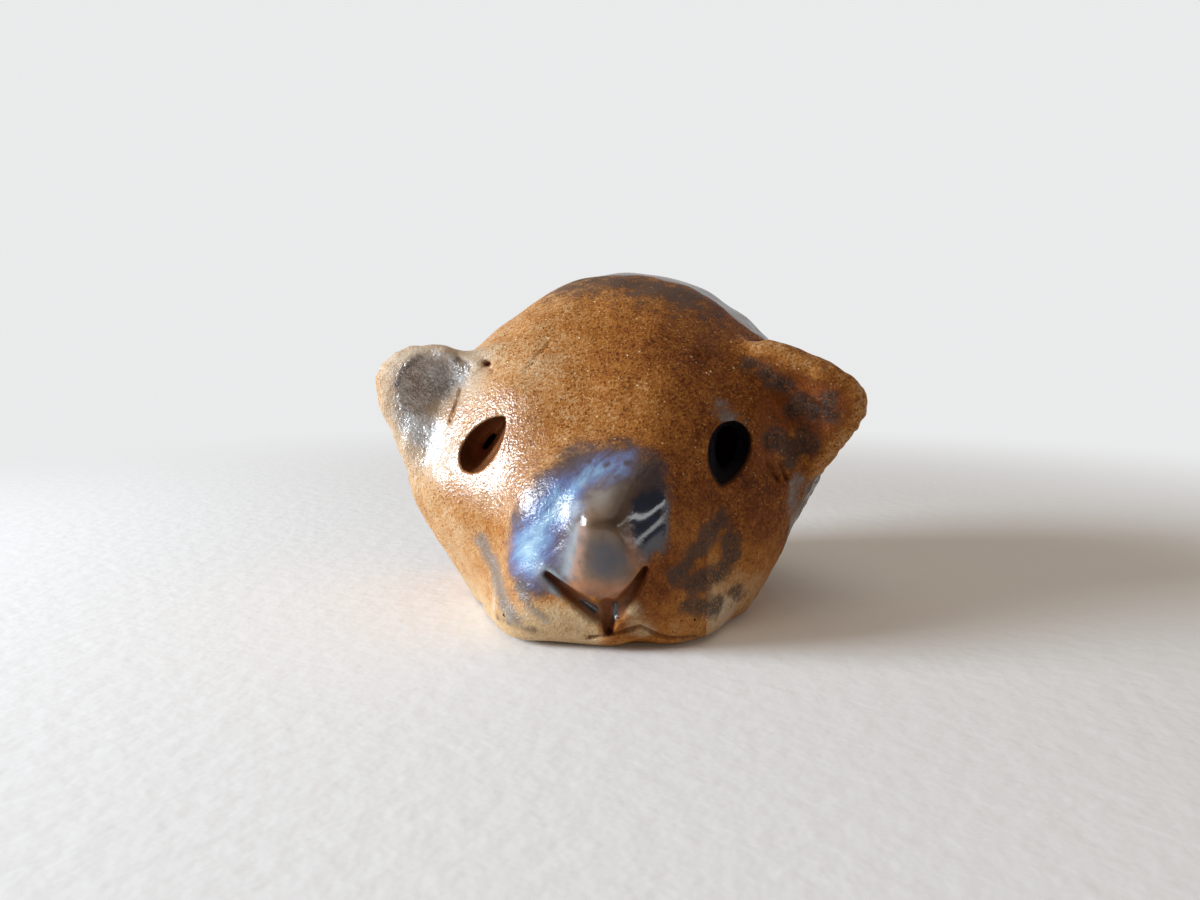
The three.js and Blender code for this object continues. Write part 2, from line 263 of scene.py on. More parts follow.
# The nose's facets: a place on each, and the way it faces
NOSE_FACETS = [
    (NOSE_RIDGE, (0.13, -0.54, 0.83)),
    (NOSE_RIDGE, (0, -0.99, -0.13)),
    ((-0.9, -19.8, 10.7), (-0.86, -0.50, 0.11)),
    ((1.66, -19.8, 10.1), (0.82, -0.47, 0.32)),
    ((0.6, -19.2, 5.2), (0, -0.35, -0.94)),
]
NOSE_ROUNDING = 0.8
NOSE_MIDDLE = np.array([0.6, -17.2, 8.6])
NOSE_HALF = np.array([3.1, 3.6, 4.5])
NOSE_FILLET = 1.3
NOSE_BOX = (-6, -24, 1), (7, -12, 17)


def ball(points, middle, half):
    """An ellipsoid."""
    part = (points - middle) / half
    size = np.linalg.norm(part, axis=1)
    return (size - 1) * size / np.maximum(np.linalg.norm(part / half, axis=1), FLATTEST)


def nose(points):
    """The pinched wedge on the snout."""
    field = ball(points, NOSE_MIDDLE, NOSE_HALF)
    for place, way in NOSE_FACETS:
        way = np.array(way) / np.linalg.norm(way)
        field = smooth_overlap(field, (points - np.array(place)) @ way, NOSE_ROUNDING)
    return field


def touch_angle(point, centre, radius, turn):
    """Where a line from a point touches a circle, as an angle about the circle's centre."""
    out, rise = np.array(point) - np.array(centre)
    return math.atan2(rise, out) + turn * math.acos(radius / math.hypot(out, rise))


def ear_outline(ear):
    """An ear's outline, out of the head's side and above the belly."""
    top, bottom = ear["root_top"], ear["root_bottom"]
    upper = touch_angle(top, ear["tip"], ear["radius"], -1)
    lower = touch_angle(bottom, ear["tip"], ear["radius"], 1)
    angles = np.linspace(upper, lower, EAR_ARC_POINTS)
    arc = np.array(ear["tip"]) + ear["radius"] * np.stack([np.cos(angles), np.sin(angles)], 1)
    return [(-EAR_ROOT_DEPTH, top[1]), top, *arc, bottom, (-EAR_ROOT_DEPTH, bottom[1])]


def ear_frame(points, ear):
    """Points as seen by an ear: out of the head, above the belly, and forwards of its middle."""
    side = ear["side"]
    head = side * surface_reach((0.0, EAR_Y, BELLY_HEIGHT + ear["tip"][1]), (side, 0.0, 0.0))
    flat = turned(points[:, :2] - np.array([head, EAR_Y]), side * EAR_TURN)
    return np.stack([side * flat[:, 0], points[:, 2] - BELLY_HEIGHT, -flat[:, 1]], 1)


def ear_lobe(points, shape):
    """Points as an ear sees them, and their distances from its outline and from its faces."""
    seen = ear_frame(points, shape)
    return seen, outline_distance(seen[:, :2], ear_outline(shape)), np.abs(seen[:, 2]) - EAR_THICKNESS / 2


def ear(points, shape):
    """An ear: a soft-edged lobe, pressed hollow in front."""
    def rule(inside):
        seen, ring, faces = ear_lobe(inside, shape)
        lobe = smooth_overlap(ring, faces, EAR_ROUNDING)
        middle = np.array([*shape["press"], EAR_THICKNESS / 2 + shape["press_depth"]])
        half = np.array([*shape["press_half"], 2 * shape["press_depth"]])
        return smooth_overlap(lobe, -ball(seen, middle, half), PRESS_ROUNDING)

    return near_box(points, *shape["box"], rule)


# A leaf's one side: a curve's ends and handles, as shares of the width and the length
LEAF_SIDE = [(0.0, -0.5), (0.75, -0.45), (0.6, 0.3), (0.0, 0.5)]
LEAF_POINTS = 13


def leaf_outline(length, width):
    """A leaf about the origin, long in its second axis, with its point at the upper end."""
    share = np.linspace(0, 1, LEAF_POINTS)
    terms = ((1 - share) ** 3, 3 * (1 - share) ** 2 * share, 3 * (1 - share) * share ** 2, share ** 3)
    side = np.stack(terms, 1) @ np.array(LEAF_SIDE) * (width, length)
    return np.vstack([side, (side * (-1, 1))[-2:0:-1]])


def eye_leaf(points, eye):
    """Distance from an eye's outline in the front view, negative inside."""
    front = points[:, [0, 2]] - np.array([eye["across"], eye["height"]])
    return outline_distance(turned(front, -eye["tilt"]), leaf_outline(eye["length"], eye["width"]))


def eye_hole(points, eye):
    """Distance from the pierced hole of an eye, negative inside it."""
    def rule(inside):
        narrowed = np.clip(-egg(inside) - EYE_STRAIGHT, 0, WALL - EYE_STRAIGHT)
        return eye_leaf(inside, eye) + eye["taper"] * narrowed

    middle = np.array([eye["across"], EYE_Y, eye["height"]])
    return near_box(points, middle - EYE_BOX, middle + EYE_BOX, rule)


# Knife cuts of the mouth in the front view: from the outer end to the apex, with half widths at both ends
MOUTH_CUTS = [
    {"path": [(-3.6, 5.9), (-1.6, 4.35), (0.2, 3.1)], "ends": (0.26, 0.88), "depth": 0.8},
    {"path": [(3.45, 6.5), (2.5, 4.9), (1.3, 3.2)], "ends": (0.26, 0.84), "depth": 0.8},
    {"path": [(0.85, 3.5), (0.8, 1.7)], "ends": (0.95, 0.40), "depth": 1.0},
]
MOUTH_BOX = (-6, -FAR, -FAR), (6, -12, 9)
MOUTH_FLARE = 1.4  # most that the square of a cut's width grows above the skin
MOUTH_ROUNDING = 0.15
LIP = {"height": 0.08, "off": 0.25, "half": 0.3}  # clay that the knife pushed up beside a cut


def cut_mouth(points, field):
    """A field with the mouth cut into it."""
    near = within(points, *MOUTH_BOX)
    front, uncut = points[near][:, [0, 2]], field[near]
    opened = uncut
    for cut in MOUTH_CUTS:
        away, along = path_distance(front, cut["path"])
        half = cut["ends"][0] + (cut["ends"][1] - cut["ends"][0]) * along
        lip = LIP["height"] * np.exp(-(((away - half - LIP["off"]) / LIP["half"]) ** 2))
        wedge = away - half * np.sqrt(np.clip(1 + uncut / cut["depth"], 0, MOUTH_FLARE))
        opened = smooth_overlap(opened - lip, -wedge, MOUTH_ROUNDING)
    field = field.copy()
    field[near] = opened
    return field


# Unevenness of the skin: its height, pitch and seed, and how far out it sets in
BODY_SWELLS = [(0.16, 12.0, 3), (0.045, 3.4, 5)]
EAR_RIPPLE, EAR_RIPPLE_START = (0.022, 1.3, 7), (10, 13)
LEFT_RIPPLE, LEFT_RIPPLE_START = (0.035, 0.9, 9), (15, 17)

# Lumps and dents that the fingers left: a place, its radius and how far it stands out
FINGER_MARKS = [
    ((-9.4, -10.5, 14.5), 3.6, -0.30),
    ((9.6, -10.8, 14), 3.4, -0.35),
    ((9.5, -11, 5.5), 3, 0.35),
    ((9.6, -10.2, 17), 0.9, 0.22),
    ((-5.6, -14.8, 1.2), 1.8, 0.6),
    ((6.8, -13.8, 1.2), 2, 0.7),
    ((-12, -8, 2.5), 3, -0.5),
    ((-11.5, -7, 1), 2.5, -0.6),
    ((3, -16.4, 0.8), 1.3, -0.3),
    ((15.5, -2, 7.5), 3, -0.4),
    ((-2.5, 2, 27.2), 3, 0.25),
    ((-13.8, -4.8, 21.8), 0.9, 0.15),
    ((-12.2, -4.4, 21.6), 0.8, -0.25),
    ((0, -8, 22), 5, -0.25),
    ((-14.6, -5.2, 18.6), 1.8, 0.45),
    ((13.4, -8, 13), 1.8, -0.35),
]

# Fine creases, cracks and pits in the front view: a path, its half width and depth
CREASES = [
    ([(-12.2, 18.3), (-12.4, 17.3), (-12.6, 16.5), (-12.8, 15.8)], 0.15, 0.26),
    ([(-12.4, 20.9), (-11.3, 20.3)], 0.30, 0.25),
    ([(12.6, 15), (12.7, 13.9)], 0.20, 0.20),
    ([(12.8, 12.8), (13.2, 12.1), (13.7, 11.5)], 0.20, 0.45),
    ([(13.9, 12.7), (14.4, 11.5)], 0.20, 0.45),
    ([(-4.6, 22.2), (-5.4, 21.2), (-6.3, 19.9)], 0.15, 0.10),
    ([(-0.6, 1.1), (1, 1.45), (3.1, 2.1), (4.2, 1.4), (5.2, 1), (7.2, 0.7)], 0.17, 0.36),
    ([(-9.9, 20.5), (-9.7, 20.5)], 0.28, 0.50),
    ([(-9.4, 20.1), (-9.2, 19.9)], 0.18, 0.25),
    ([(7.3, 21.3), (7.7, 21)], 0.20, 0.15),
]


def finger_marks(points):
    """How far the hand-worked skin stands out of the plain forms."""
    rise = sum(waves(points, *swell) for swell in BODY_SWELLS)
    rise += waves(points, *EAR_RIPPLE) * smoothstep(np.abs(points[:, 0]), *EAR_RIPPLE_START)
    rise += waves(points, *LEFT_RIPPLE) * smoothstep(points[:, 0], *LEFT_RIPPLE_START)
    for place, radius, height in FINGER_MARKS:
        away = ((points - np.array(place)) ** 2).sum(1)
        rise += height * np.exp(-away / (2 * radius * radius))
    return rise


def creases(points):
    """How deep the creases and pits of the face are."""
    front = points[:, [0, 2]]
    depth = np.zeros(len(points))
    for path, half, deep in CREASES:
        low, high = np.min(path, 0) - 4 * half, np.max(path, 0) + 4 * half
        near = within(front, low, high) & (points[:, 1] < FRONT_END)
        away, _ = path_distance(front[near], path)
        depth[near] = np.maximum(depth[near], deep * np.exp(-((away / half) ** 2)))
    return depth


# Quills: short strokes cut into the back, in rings about a line from the nose to the tail
QUILL_MIDDLE = np.array([0.6, 1.0, 9.0])
QUILL_FIRST = 100.0  # degrees between the first ring's start and the nose
QUILL_STEP = 8.6
QUILL_RINGS = 9
QUILL_PITCH = 1.9
QUILL_FEWEST = 5
QUILL_HALF = 0.36
QUILL_DEPTH = 0.36
QUILL_SLANT = 8.0  # most degrees that a stroke leans out of its line
RING_LEAN, STROKE_LEAN = 5, 3  # make the slants uneven from ring to ring and from stroke to stroke
QUILL_WIDEST, QUILL_TAPER = 1.2, 0.7  # shares of the half width at a stroke's start, and lost along it
QUILL_START, QUILL_STOP = (0.02, 0.2), (0.75, 1.0)  # where along its length a stroke deepens and ends
QUILL_LOWEST, QUILL_FORWARDS = (4.0, 6.0), (3.6, 5.6)  # heights and places in y where the strokes fade


def quill_counts():
    """How many strokes fit in each ring."""
    counts = []
    for ring in range(QUILL_RINGS):
        angle = math.radians(QUILL_FIRST + (ring + 0.5) * QUILL_STEP)
        reach = surface_reach(QUILL_MIDDLE, (0.0, -math.cos(angle), math.sin(angle)))
        counts.append(max(QUILL_FEWEST, round(2 * math.pi * reach * math.sin(angle) / QUILL_PITCH)))
    return np.array(counts)


QUILL_COUNTS = quill_counts()


def quill_depth(points):
    """How deep the quill strokes are, at points behind the face."""
    seen = points - QUILL_MIDDLE
    ring_reach = np.hypot(seen[:, 0], seen[:, 2])
    angle = np.degrees(np.arctan2(ring_reach, -seen[:, 1]))
    turn = np.arctan2(seen[:, 0], seen[:, 2]) / (2 * math.pi)
    place = (angle - QUILL_FIRST) / QUILL_STEP
    ring = np.floor(place).astype(int)
    shown = (ring >= 0) & (ring < QUILL_RINGS)
    ring = np.clip(ring, 0, QUILL_RINGS - 1)
    along = place - ring
    count = QUILL_COUNTS[ring]
    column = turn * count - 0.5 * (ring % 2)
    stroke = np.round(column)
    slant = np.radians(QUILL_SLANT) * np.sin(ring * RING_LEAN + np.mod(stroke, count) * STROKE_LEAN)
    length = np.radians(QUILL_STEP) * np.linalg.norm(seen, axis=1)
    off = (column - stroke) / count * 2 * math.pi * ring_reach + (along - 0.5) * length * np.tan(slant)
    groove = np.exp(-((off / (QUILL_HALF * (QUILL_WIDEST - QUILL_TAPER * along))) ** 2))
    ends = smoothstep(along, *QUILL_START) * (1 - smoothstep(along, *QUILL_STOP))
    fade = smoothstep(points[:, 2], *QUILL_LOWEST) * smoothstep(points[:, 1], *QUILL_FORWARDS)
    return np.where(shown, QUILL_DEPTH * groove * ends * fade, 0)


def quills(points):
    """How deep the quill strokes of the back are."""
    depth = np.zeros(len(points))
    behind = points[:, 1] > SEAM_Y
    depth[behind] = quill_depth(points[behind])
    return depth


def skin(points):
    """The outside of the clay before anything is cut into it."""
    field = smooth_union(egg(points), loaf(points), SNOUT_FILLET)
    field = smooth_union(field, near_box(points, *NOSE_BOX, nose), NOSE_FILLET)
    for shape in (RIGHT_EAR, LEFT_EAR):
        field = smooth_union(field, ear(points, shape), EAR_FILLET)
    return field - finger_marks(points)


def clay(points):
    """All of the clay: the skin with its cuts, holes and hollow."""
    field = skin(points) + creases(points) + quills(points)
    field = cut_mouth(points, field)
    for eye in (RIGHT_EYE, LEFT_EYE):
        field = smooth_overlap(field, -eye_hole(points, eye), EYE_RIM)
    field = smooth_overlap(field, -points[:, 2], BOTTOM_ROUNDING)
    return smooth_overlap(field, -egg(points, -WALL), HOLLOW_ROUNDING)


# Where the clay was luted: a field for each piece, negative on its own side
SNOUT_CUT = np.array([7.6, 8.8])
NOSE_CUT = np.array([3.0, 4.4])
NOSE_FLARE = 0.7  # how much narrower the nose's cut is for each millimetre further in
EAR_CUT = 0.4  # how far outside the ear's own form it is cut
EAR_START = 0.35  # how far outside the head's skin an ear starts


def ring_side(points, middle, half):
    """A squared ring in the front view, negative inside."""
    part = np.abs(points[:, [0, 2]] - middle[[0, 2]]) / half
    return ((part ** SNOUT_SQUARENESS).sum(1) ** (1 / SNOUT_SQUARENESS) - 1) * half[0]


def snout_side(points):
    ring = ring_side(points, SNOUT_MIDDLE, SNOUT_CUT)
    return np.maximum(np.maximum(ring, -LUTE_DEPTH - egg(points)), points[:, 1] - SNOUT_MIDDLE[1])


def nose_side(points):
    ring = ring_side(points, NOSE_MIDDLE, NOSE_CUT) + NOSE_FLARE * (points[:, 1] - NOSE_MIDDLE[1])
    return np.maximum(np.maximum(ring, -LUTE_DEPTH - loaf(points)), snout_side(points))


def ear_side(points, shape):
    def rule(inside):
        _, ring, faces = ear_lobe(inside, shape)
        head = egg(inside) - finger_marks(inside)
        return np.maximum(np.maximum(ring, faces) - EAR_CUT, EAR_START - head)

    return near_box(points, *shape["box"], rule)


def luted_on(points):
    """The space that belongs to the snout and the ears."""
    sides = (snout_side(points), ear_side(points, RIGHT_EAR), ear_side(points, LEFT_EAR))
    return np.minimum.reduce(sides)


def half_side(points, way):
    """A half of the body, before the seam where way is 1 and behind it where way is -1."""
    half = np.maximum(way * (points[:, 1] - SEAM_Y), FOOT_TOP - points[:, 2])
    return np.maximum(half, -luted_on(points))


def foot_side(points):
    return np.maximum(points[:, 2] - FOOT_TOP, -luted_on(points))


def snout_only(points):
    return np.maximum(snout_side(points), -nose_side(points))


# Each piece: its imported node, its side of the cuts, the pitch of its net and its finish
PIECES = [
    ("face_half", partial(half_side, way=1), 0.20, "stained_clay"),
    ("back_half", partial(half_side, way=-1), 0.22, "dark_glaze"),
    ("foot_coil", foot_side, 0.24, "pale_clay"),
    ("snout_pad", snout_only, 0.15, "blue_glaze"),
    ("nose_tip", nose_side, 0.12, "grey_glaze"),
    ("right_ear", partial(ear_side, shape=RIGHT_EAR), 0.16, "stained_clay"),
    ("left_ear", partial(ear_side, shape=LEFT_EAR), 0.16, "stained_clay"),
]
NET_MARGIN = 2.5  # how far a net's box reaches past its node
COARSE = 4  # a net is first looked for on every fourth point of its grid
BAND = 7  # and then worked out within this many pitches of where it was found
SETTLE_ROUNDS = 5
LEAST_SLOPE, LEAST_SPREAD = 0.05, 0.02  # keep a point from being thrown far where the fields are flat
CROSSING_LIMITS = (0.06, 0.94)  # keep a net's points off the corners of the grid, where some would meet
UNCROSSED = 2.0  # a share past the end of a grid's edge

CORNERS = np.array([(i, j, k) for i in (0, 1) for j in (0, 1) for k in (0, 1)])
EDGES = [(a, b) for a in range(8) for b in range(a + 1, 8) if np.abs(CORNERS[a] - CORNERS[b]).sum() == 1]


def sample(field, points):
    """A field's values at many points, a block at a time."""
    blocks = np.array_split(points, len(points) // BLOCK + 1)
    return np.concatenate([field(block) for block in blocks])


def gradient(field, points, step=0.02):
    """A field's value and slope at points."""
    value = sample(field, points)
    slopes = [(sample(field, points + step * np.eye(3)[i]) - value) / step for i in range(3)]
    return value, np.stack(slopes, 1)


def settle(points, field):
    """Points moved onto a field's surface."""
    value, slope = gradient(field, points)
    return points - slope * (value / np.maximum((slope ** 2).sum(1), LEAST_SLOPE))[:, None]


def settle_on_both(points, one, two, limit):
    """Points moved onto the line where two surfaces meet, no further than a limit."""
    start = points
    for _ in range(SETTLE_ROUNDS):
        a, slope_a = gradient(one, points)
        b, slope_b = gradient(two, points)
        aa, bb, ab = (slope_a ** 2).sum(1), (slope_b ** 2).sum(1), (slope_a * slope_b).sum(1)
        spread = np.maximum(aa * bb - ab * ab, LEAST_SPREAD)
        move_a = (bb * a - ab * b) / spread
        move_b = (aa * b - ab * a) / spread
        points = points - slope_a * move_a[:, None] - slope_b * move_b[:, None]
        shift = points - start
        length = np.maximum(np.linalg.norm(shift, axis=1), 1e-9)
        points = start + shift * np.minimum(1, limit / length)[:, None]
    return points


def grid_points(axes):
    return np.stack(np.meshgrid(*axes, indexing="ij"), -1)


def near_values(own_side, axes, pitch):
    """The clay's field and a side's on a grid, exact near the piece's surface and rough elsewhere."""
    coarse = [axis[::COARSE] for axis in axes]
    spots = grid_points(coarse)
    rough = sample(lambda p: np.maximum(clay(p), own_side(p)), spots.reshape(-1, 3)).reshape(spots.shape[:3])
    picks = []
    for axis, few in zip(axes, coarse):
        nearest = np.round(np.arange(len(axis)) / COARSE).astype(int)
        picks.append(np.minimum(nearest, len(few) - 1))
    clay_at = rough[np.ix_(*picks)]
    side_at = clay_at.copy()
    near = np.abs(clay_at) < BAND * pitch
    spots = grid_points(axes)[near]
    clay_at[near] = sample(clay, spots)
    side_at[near] = sample(own_side, spots)
    return clay_at, side_at


def fill_diagonals(inside):
    """Fills a grid's inside where it meets itself at an edge, so that each edge of its net has two quads."""
    gaps = True
    while gaps:
        gaps = False
        for one, two in ((0, 1), (0, 2), (1, 2)):
            grid = np.moveaxis(inside, (one, two), (0, 1))
            a, b, c, d = grid[:-1, :-1], grid[1:, :-1], grid[:-1, 1:], grid[1:, 1:]
            odd = (a & d & ~b & ~c) | (b & c & ~a & ~d)
            gaps = gaps or odd.any()
            for corner in (a, b, c, d):
                corner |= odd


def largest_body(points, quads):
    """A net without the crumbs that lie apart from its largest body."""
    body, before = np.arange(len(points)), None
    while not np.array_equal(body, before):
        before = body.copy()
        np.minimum.at(body, quads.ravel(), np.repeat(before[quads].min(1), 4))
        body = body[body]
    kept = body == np.bincount(body).argmax()
    number = np.cumsum(kept) - 1
    return points[kept], number[quads[kept[quads[:, 0]]]]


def net(own_side, low, high, pitch):
    """A closed net round the clay on one side of the cuts, and which of its quads are skin."""
    counts = np.ceil((high - low) / pitch).astype(int) + 1
    axes = [low[i] + pitch * np.arange(counts[i]) for i in range(3)]
    clay_at, side_at = near_values(own_side, axes, pitch)
    inside = np.maximum(clay_at, side_at) < 0
    fill_diagonals(inside)

    full = np.zeros(counts - 1, int)
    for corner in CORNERS:
        full += inside[tuple(slice(c, n - 1 + c) for c, n in zip(corner, counts))]
    mixed = (full > 0) & (full < 8)
    cells = np.argwhere(mixed)
    number = np.full(mixed.shape, -1)
    number[mixed] = np.arange(len(cells))

    clay_here, side_here, inner = (
        np.stack([grid[tuple((cells + c).T)] for c in CORNERS], 1) for grid in (clay_at, side_at, inside))
    row = np.arange(len(cells))
    total, place = np.zeros(len(cells)), np.zeros((len(cells), 3))
    on_clay, on_side = np.zeros(len(cells), bool), np.zeros(len(cells), bool)
    for a, b in EDGES:
        crossed = inner[:, a] != inner[:, b]
        first = np.where(inner[:, a], a, b)
        last = np.where(inner[:, a], b, a)
        shares = []
        for values in (clay_here, side_here):
            start, end = values[row, first], values[row, last]
            shares.append(np.where(end > 0, start / np.minimum(start - end, -1e-9), UNCROSSED))
        share = np.clip(np.minimum(shares[0], shares[1]), *CROSSING_LIMITS)
        spot = CORNERS[first] + share[:, None] * (CORNERS[last] - CORNERS[first])
        place += np.where(crossed[:, None], spot, 0)
        total += crossed
        on_clay |= crossed & (shares[0] <= shares[1])
        on_side |= crossed & (shares[1] < shares[0])
    points = low + pitch * (cells + place / total[:, None])

    both = on_clay & on_side
    only_clay = on_clay & ~on_side
    points[only_clay] = settle(points[only_clay], clay)
    points[both] = settle_on_both(points[both], clay, own_side, pitch)

    quads = []
    for axis in range(3):
        one, two = (axis + 1) % 3, (axis + 2) % 3
        before = np.take(inside, np.arange(counts[axis] - 1), axis)
        after = np.take(inside, np.arange(1, counts[axis]), axis)
        edge = np.argwhere(before != after)
        outward = before[tuple(edge.T)]
        step_one, step_two = np.eye(3, dtype=int)[one], np.eye(3, dtype=int)[two]
        ring = [edge - step_one - step_two, edge - step_two, edge, edge - step_one]
        quad = np.stack([number[tuple(cell.T)] for cell in ring], 1)
        quad[~outward] = quad[~outward][:, ::-1]
        quads.append(quad)
    points, quads = largest_body(points, np.vstack(quads))
    middles = points[quads].mean(1)
    is_skin = np.abs(sample(clay, middles)) <= np.abs(sample(own_side, middles))
    return points, quads, is_skin


def build_mesh(name, points, quads, is_skin):
    """A mesh of a net, smooth apart from the edges where skin meets cut."""
    mesh = bpy.data.meshes.new(name)
    mesh.from_pydata(((points + MIDDLE) * MM).tolist(), [], quads.tolist())
    edge_of = np.empty(len(mesh.loops), np.int32)
    mesh.loops.foreach_get("edge_index", edge_of)
    skin_loops = np.repeat(is_skin, 4)
    has_skin, has_cut = np.zeros(len(mesh.edges), bool), np.zeros(len(mesh.edges), bool)
    has_skin[edge_of[skin_loops]] = True
    has_cut[edge_of[~skin_loops]] = True
    sharp = mesh.attributes.new("sharp_edge", "BOOLEAN", "EDGE")
    sharp.data.foreach_set("value", has_skin & has_cut)
    mesh.polygons.foreach_set("use_smooth", np.ones(len(quads), bool))
    mesh.update()
    return mesh


# Stains and glazes in the front view, with a few marks of painted shade and reflection: strokes with half
# widths at both ends, and patches with their outlines
INSET_LIMITS = (-3.0, 4.0)
DEPTH_LIMITS = (-0.2, 4.0)
STROKES = {
    "wash_and_shade": [
        ([(9, 9.05), (7.5, 7.3), (5.6, 5.6)], (0.75, 0.6)),
        ([(9.8, 7.4), (9.95, 6.1), (9.1, 5), (6.8, 4.8)], (0.8, 0.75)),
        ([(6.4, 3.5), (8.7, 2.7)], (0.6, 0.8)),
        ([(10.3, 3.3), (10.5, 2.7)], (0.6, 0.5)),
        ([(11.1, 20.5), (11.9, 20.6)], (0.5, 0.5)),
        ([(12.7, 19.9), (13.2, 19.3), (14.5, 18.8)], (0.55, 0.65)),
        ([(15.1, 16.8), (15.7, 17.5), (16.7, 16.8)], (0.8, 0.8)),
        ([(17.8, 18), (17.4, 16.9), (18.3, 16.5)], (0.6, 0.6)),
        ([(13.4, 14.7), (15.2, 13.7), (16.5, 14.1)], (1, 0.8)),
        ([(15.9, 14.9), (15.2, 13.4), (14.6, 12.6)], (0.7, 0.6)),
        # painted shade on the upper inner wall of the right ear
        ([(-17.3, 18.6), (-16.7, 20), (-15.4, 21)], (0.1, 0.15)),
        ([(-7.6, 1.8), (-4.5, 1.5)], (0.1, 0.15)),
    ],
    "grey": [
        ([(9.1, 17.3), (9.7, 16.7), (10.5, 15.7)], (0.5, 0.45)),
        ([(-5.6, 4.5), (-4.8, 3.4), (-3.8, 2.7)], (0.6, 0.35)),
        ([(-9.5, 7.1), (-8.7, 5.6), (-7.4, 3.4), (-6, 2.1)], (0.6, 0.7)),
        # painted reflection: a glossy grey stroke on the right flank
        ([(15.4, 11.2), (15, 9.8), (15.4, 8.3)], (0.5, 0.3)),
    ],
    "cream": [
        ([(1.9, 4.05), (2.7, 3), (3.3, 1.9)], (0.5, 0.7)),
        ([(-12.4, 1.6), (-9, 0.6), (-5, 0.2)], (1, 1.4)),
    ],
    "ridge": [
        ([(-0.9, 9.6), (-1.2, 7.8), (-1.4, 6.3)], (0.05, 0.3)),
        ([(2.4, 8.9), (2.7, 7.5), (3.1, 6.6)], (0.1, 0.3)),
        ([(-1.5, 5.4), (2.3, 5.2)], (0.6, 0.6)),
    ],
    "flank": [
        ([(-2.4, 10.7), (-1.5, 10.8)], (0.3, 0.3)),
        ([(-1.3, 9.5), (-1.7, 7.7), (-2.1, 6.3)], (0.2, 0.4)),
        ([(-4, 6.3), (-2.6, 5.4)], (0.3, 0.4)),
    ],
    "core": [(
        [(-5.2, 7.1), (-4.4, 8.5), (-3.5, 10), (-2.6, 11.3), (-1.6, 12.3), (0.1, 13.3), (1.6, 13.8)],
        (1.4, 0.3),
    )],
    "holes": [
        ([(-0.8, 13.8), (-0.7, 13.8)], (0.05, 0.1)), ([(0.5, 13.6), (0.7, 13.7)], (0.1, 0.1)),
        ([(2, 13.8), (2.4, 13.8)], (0.15, 0.1)), ([(1.3, 12.9), (1.5, 13)], (0.05, 0.05)),
    ],
    "ink": [([(-1.1, 3.9), (-0.2, 3.3)], (0.2, 0.35)), ([(1.3, 3.8), (1.3, 2.3)], (0.25, 0.3))],
}
PATCHES = {
    "blue": [
        (-7.3, 6.1), (-6.8, 9.6), (-5, 12.8), (-2, 15.1), (2.3, 15.4), (5.1, 13.8), (5.3, 11.1),
        (4.7, 7.4), (2.6, 6.6), (0.3, 4.6), (-2.6, 4.6), (-4.4, 3.8), (-6.2, 4.4),
    ],
    "pool": [
        (2.4, 11.5), (3.1, 12), (4.1, 12.1), (5, 11.8), (5.1, 10.5), (5.1, 9.1), (4.7, 7.7), (3.7, 7.6),
        (2.7, 8.8), (2.4, 10.2),
    ],
    "nose": [
        (-0.5, 12.1), (2.8, 12), (2.4, 10.4), (3.1, 6.9), (2.2, 5), (-1.4, 5), (-1.6, 7),
        (-1, 10.4),
    ],
    "bridge": [(-0.9, 11.2), (-0.5, 12.1), (0.9, 12.6), (1.6, 12.3), (1.1, 11.2), (0.3, 10.9)],
    # painted shade on the right of the nose's top and upper front
    "shade": [(1.6, 12.4), (2.5, 12.1), (2.1, 10.9), (1.9, 10), (0.7, 9.7), (-0.2, 10), (0.7, 10.7)],
    "slate": [(-0.3, 8.6), (0.7, 9), (1.9, 8.4), (2.3, 7.5), (1.4, 6.4), (0.4, 6.2), (-0.3, 7.1)],
    "bowl": [
        (-17.3, 18), (-17, 19.9), (-16.1, 21), (-14.5, 21.2), (-12.6, 21), (-11.4, 20.3),
        (-11.5, 19.3), (-12.8, 18.3), (-14.2, 17.6), (-15.3, 17), (-14.5, 16), (-13.3, 14.4),
        (-13.1, 13.4), (-13.9, 12.7), (-15.4, 13.4), (-16.7, 15.1), (-17.4, 16.6),
    ],
    "cream": [(-7.5, 2.4), (-4.9, 3.7), (0.3, 4.2), (0.6, 1.2), (-0.5, -0.5), (-7.5, -0.5)],
    "gloss": [
        (-16.5, 14.2), (-13.6, 17.2), (-9, 18.6), (-5.8, 17.6), (-4.2, 13.5), (-5.6, 9.6), (-8, 9.4),
        (-12.8, 10.6),
    ],
}


def front_inset(points, inset):
    """An inset, kept to the front."""
    return np.clip(np.where(points[:, 1] > FRONT_END, -FAR, inset), *INSET_LIMITS)


def painted(points, layer):
    """How far points lie inside a painted layer of the front: staining, glazes, and a few marks of painted
    shade and reflection.
    """
    front = points[:, [0, 2]]
    inset = np.full(len(points), -FAR)
    for path, (first, last) in STROKES.get(layer, []):
        away, along = path_distance(front, path)
        inset = np.maximum(inset, first + (last - first) * along - away)
    if layer in PATCHES:
        inset = np.maximum(inset, -outline_distance(front, PATCHES[layer]))
    return front_inset(points, inset)


CROWN_STROKE = [(-3.4, 0.8), (1.5, -0.5), (4.5, -1.5), (6.6, -1.2)]  # seen from above
CROWN_HALF = 2.1
CROWN_SLOPE = 0.2  # makes its edges soft
CROWN_DEPTH = 6.0  # how far down the head it shows


def wash_and_shade(points):
    """Insets of the dark oxide on the face, the ears and the crown, and of one stroke of painted shade on the
    right ear's upper inner wall.
    """
    away, _ = path_distance(points[:, :2], CROWN_STROKE)
    crown = np.where(points[:, 2] > BODY_HEIGHT - CROWN_DEPTH, CROWN_SLOPE * (CROWN_HALF - away), -FAR)
    return np.maximum(painted(points, "wash_and_shade"), np.clip(crown, *INSET_LIMITS))


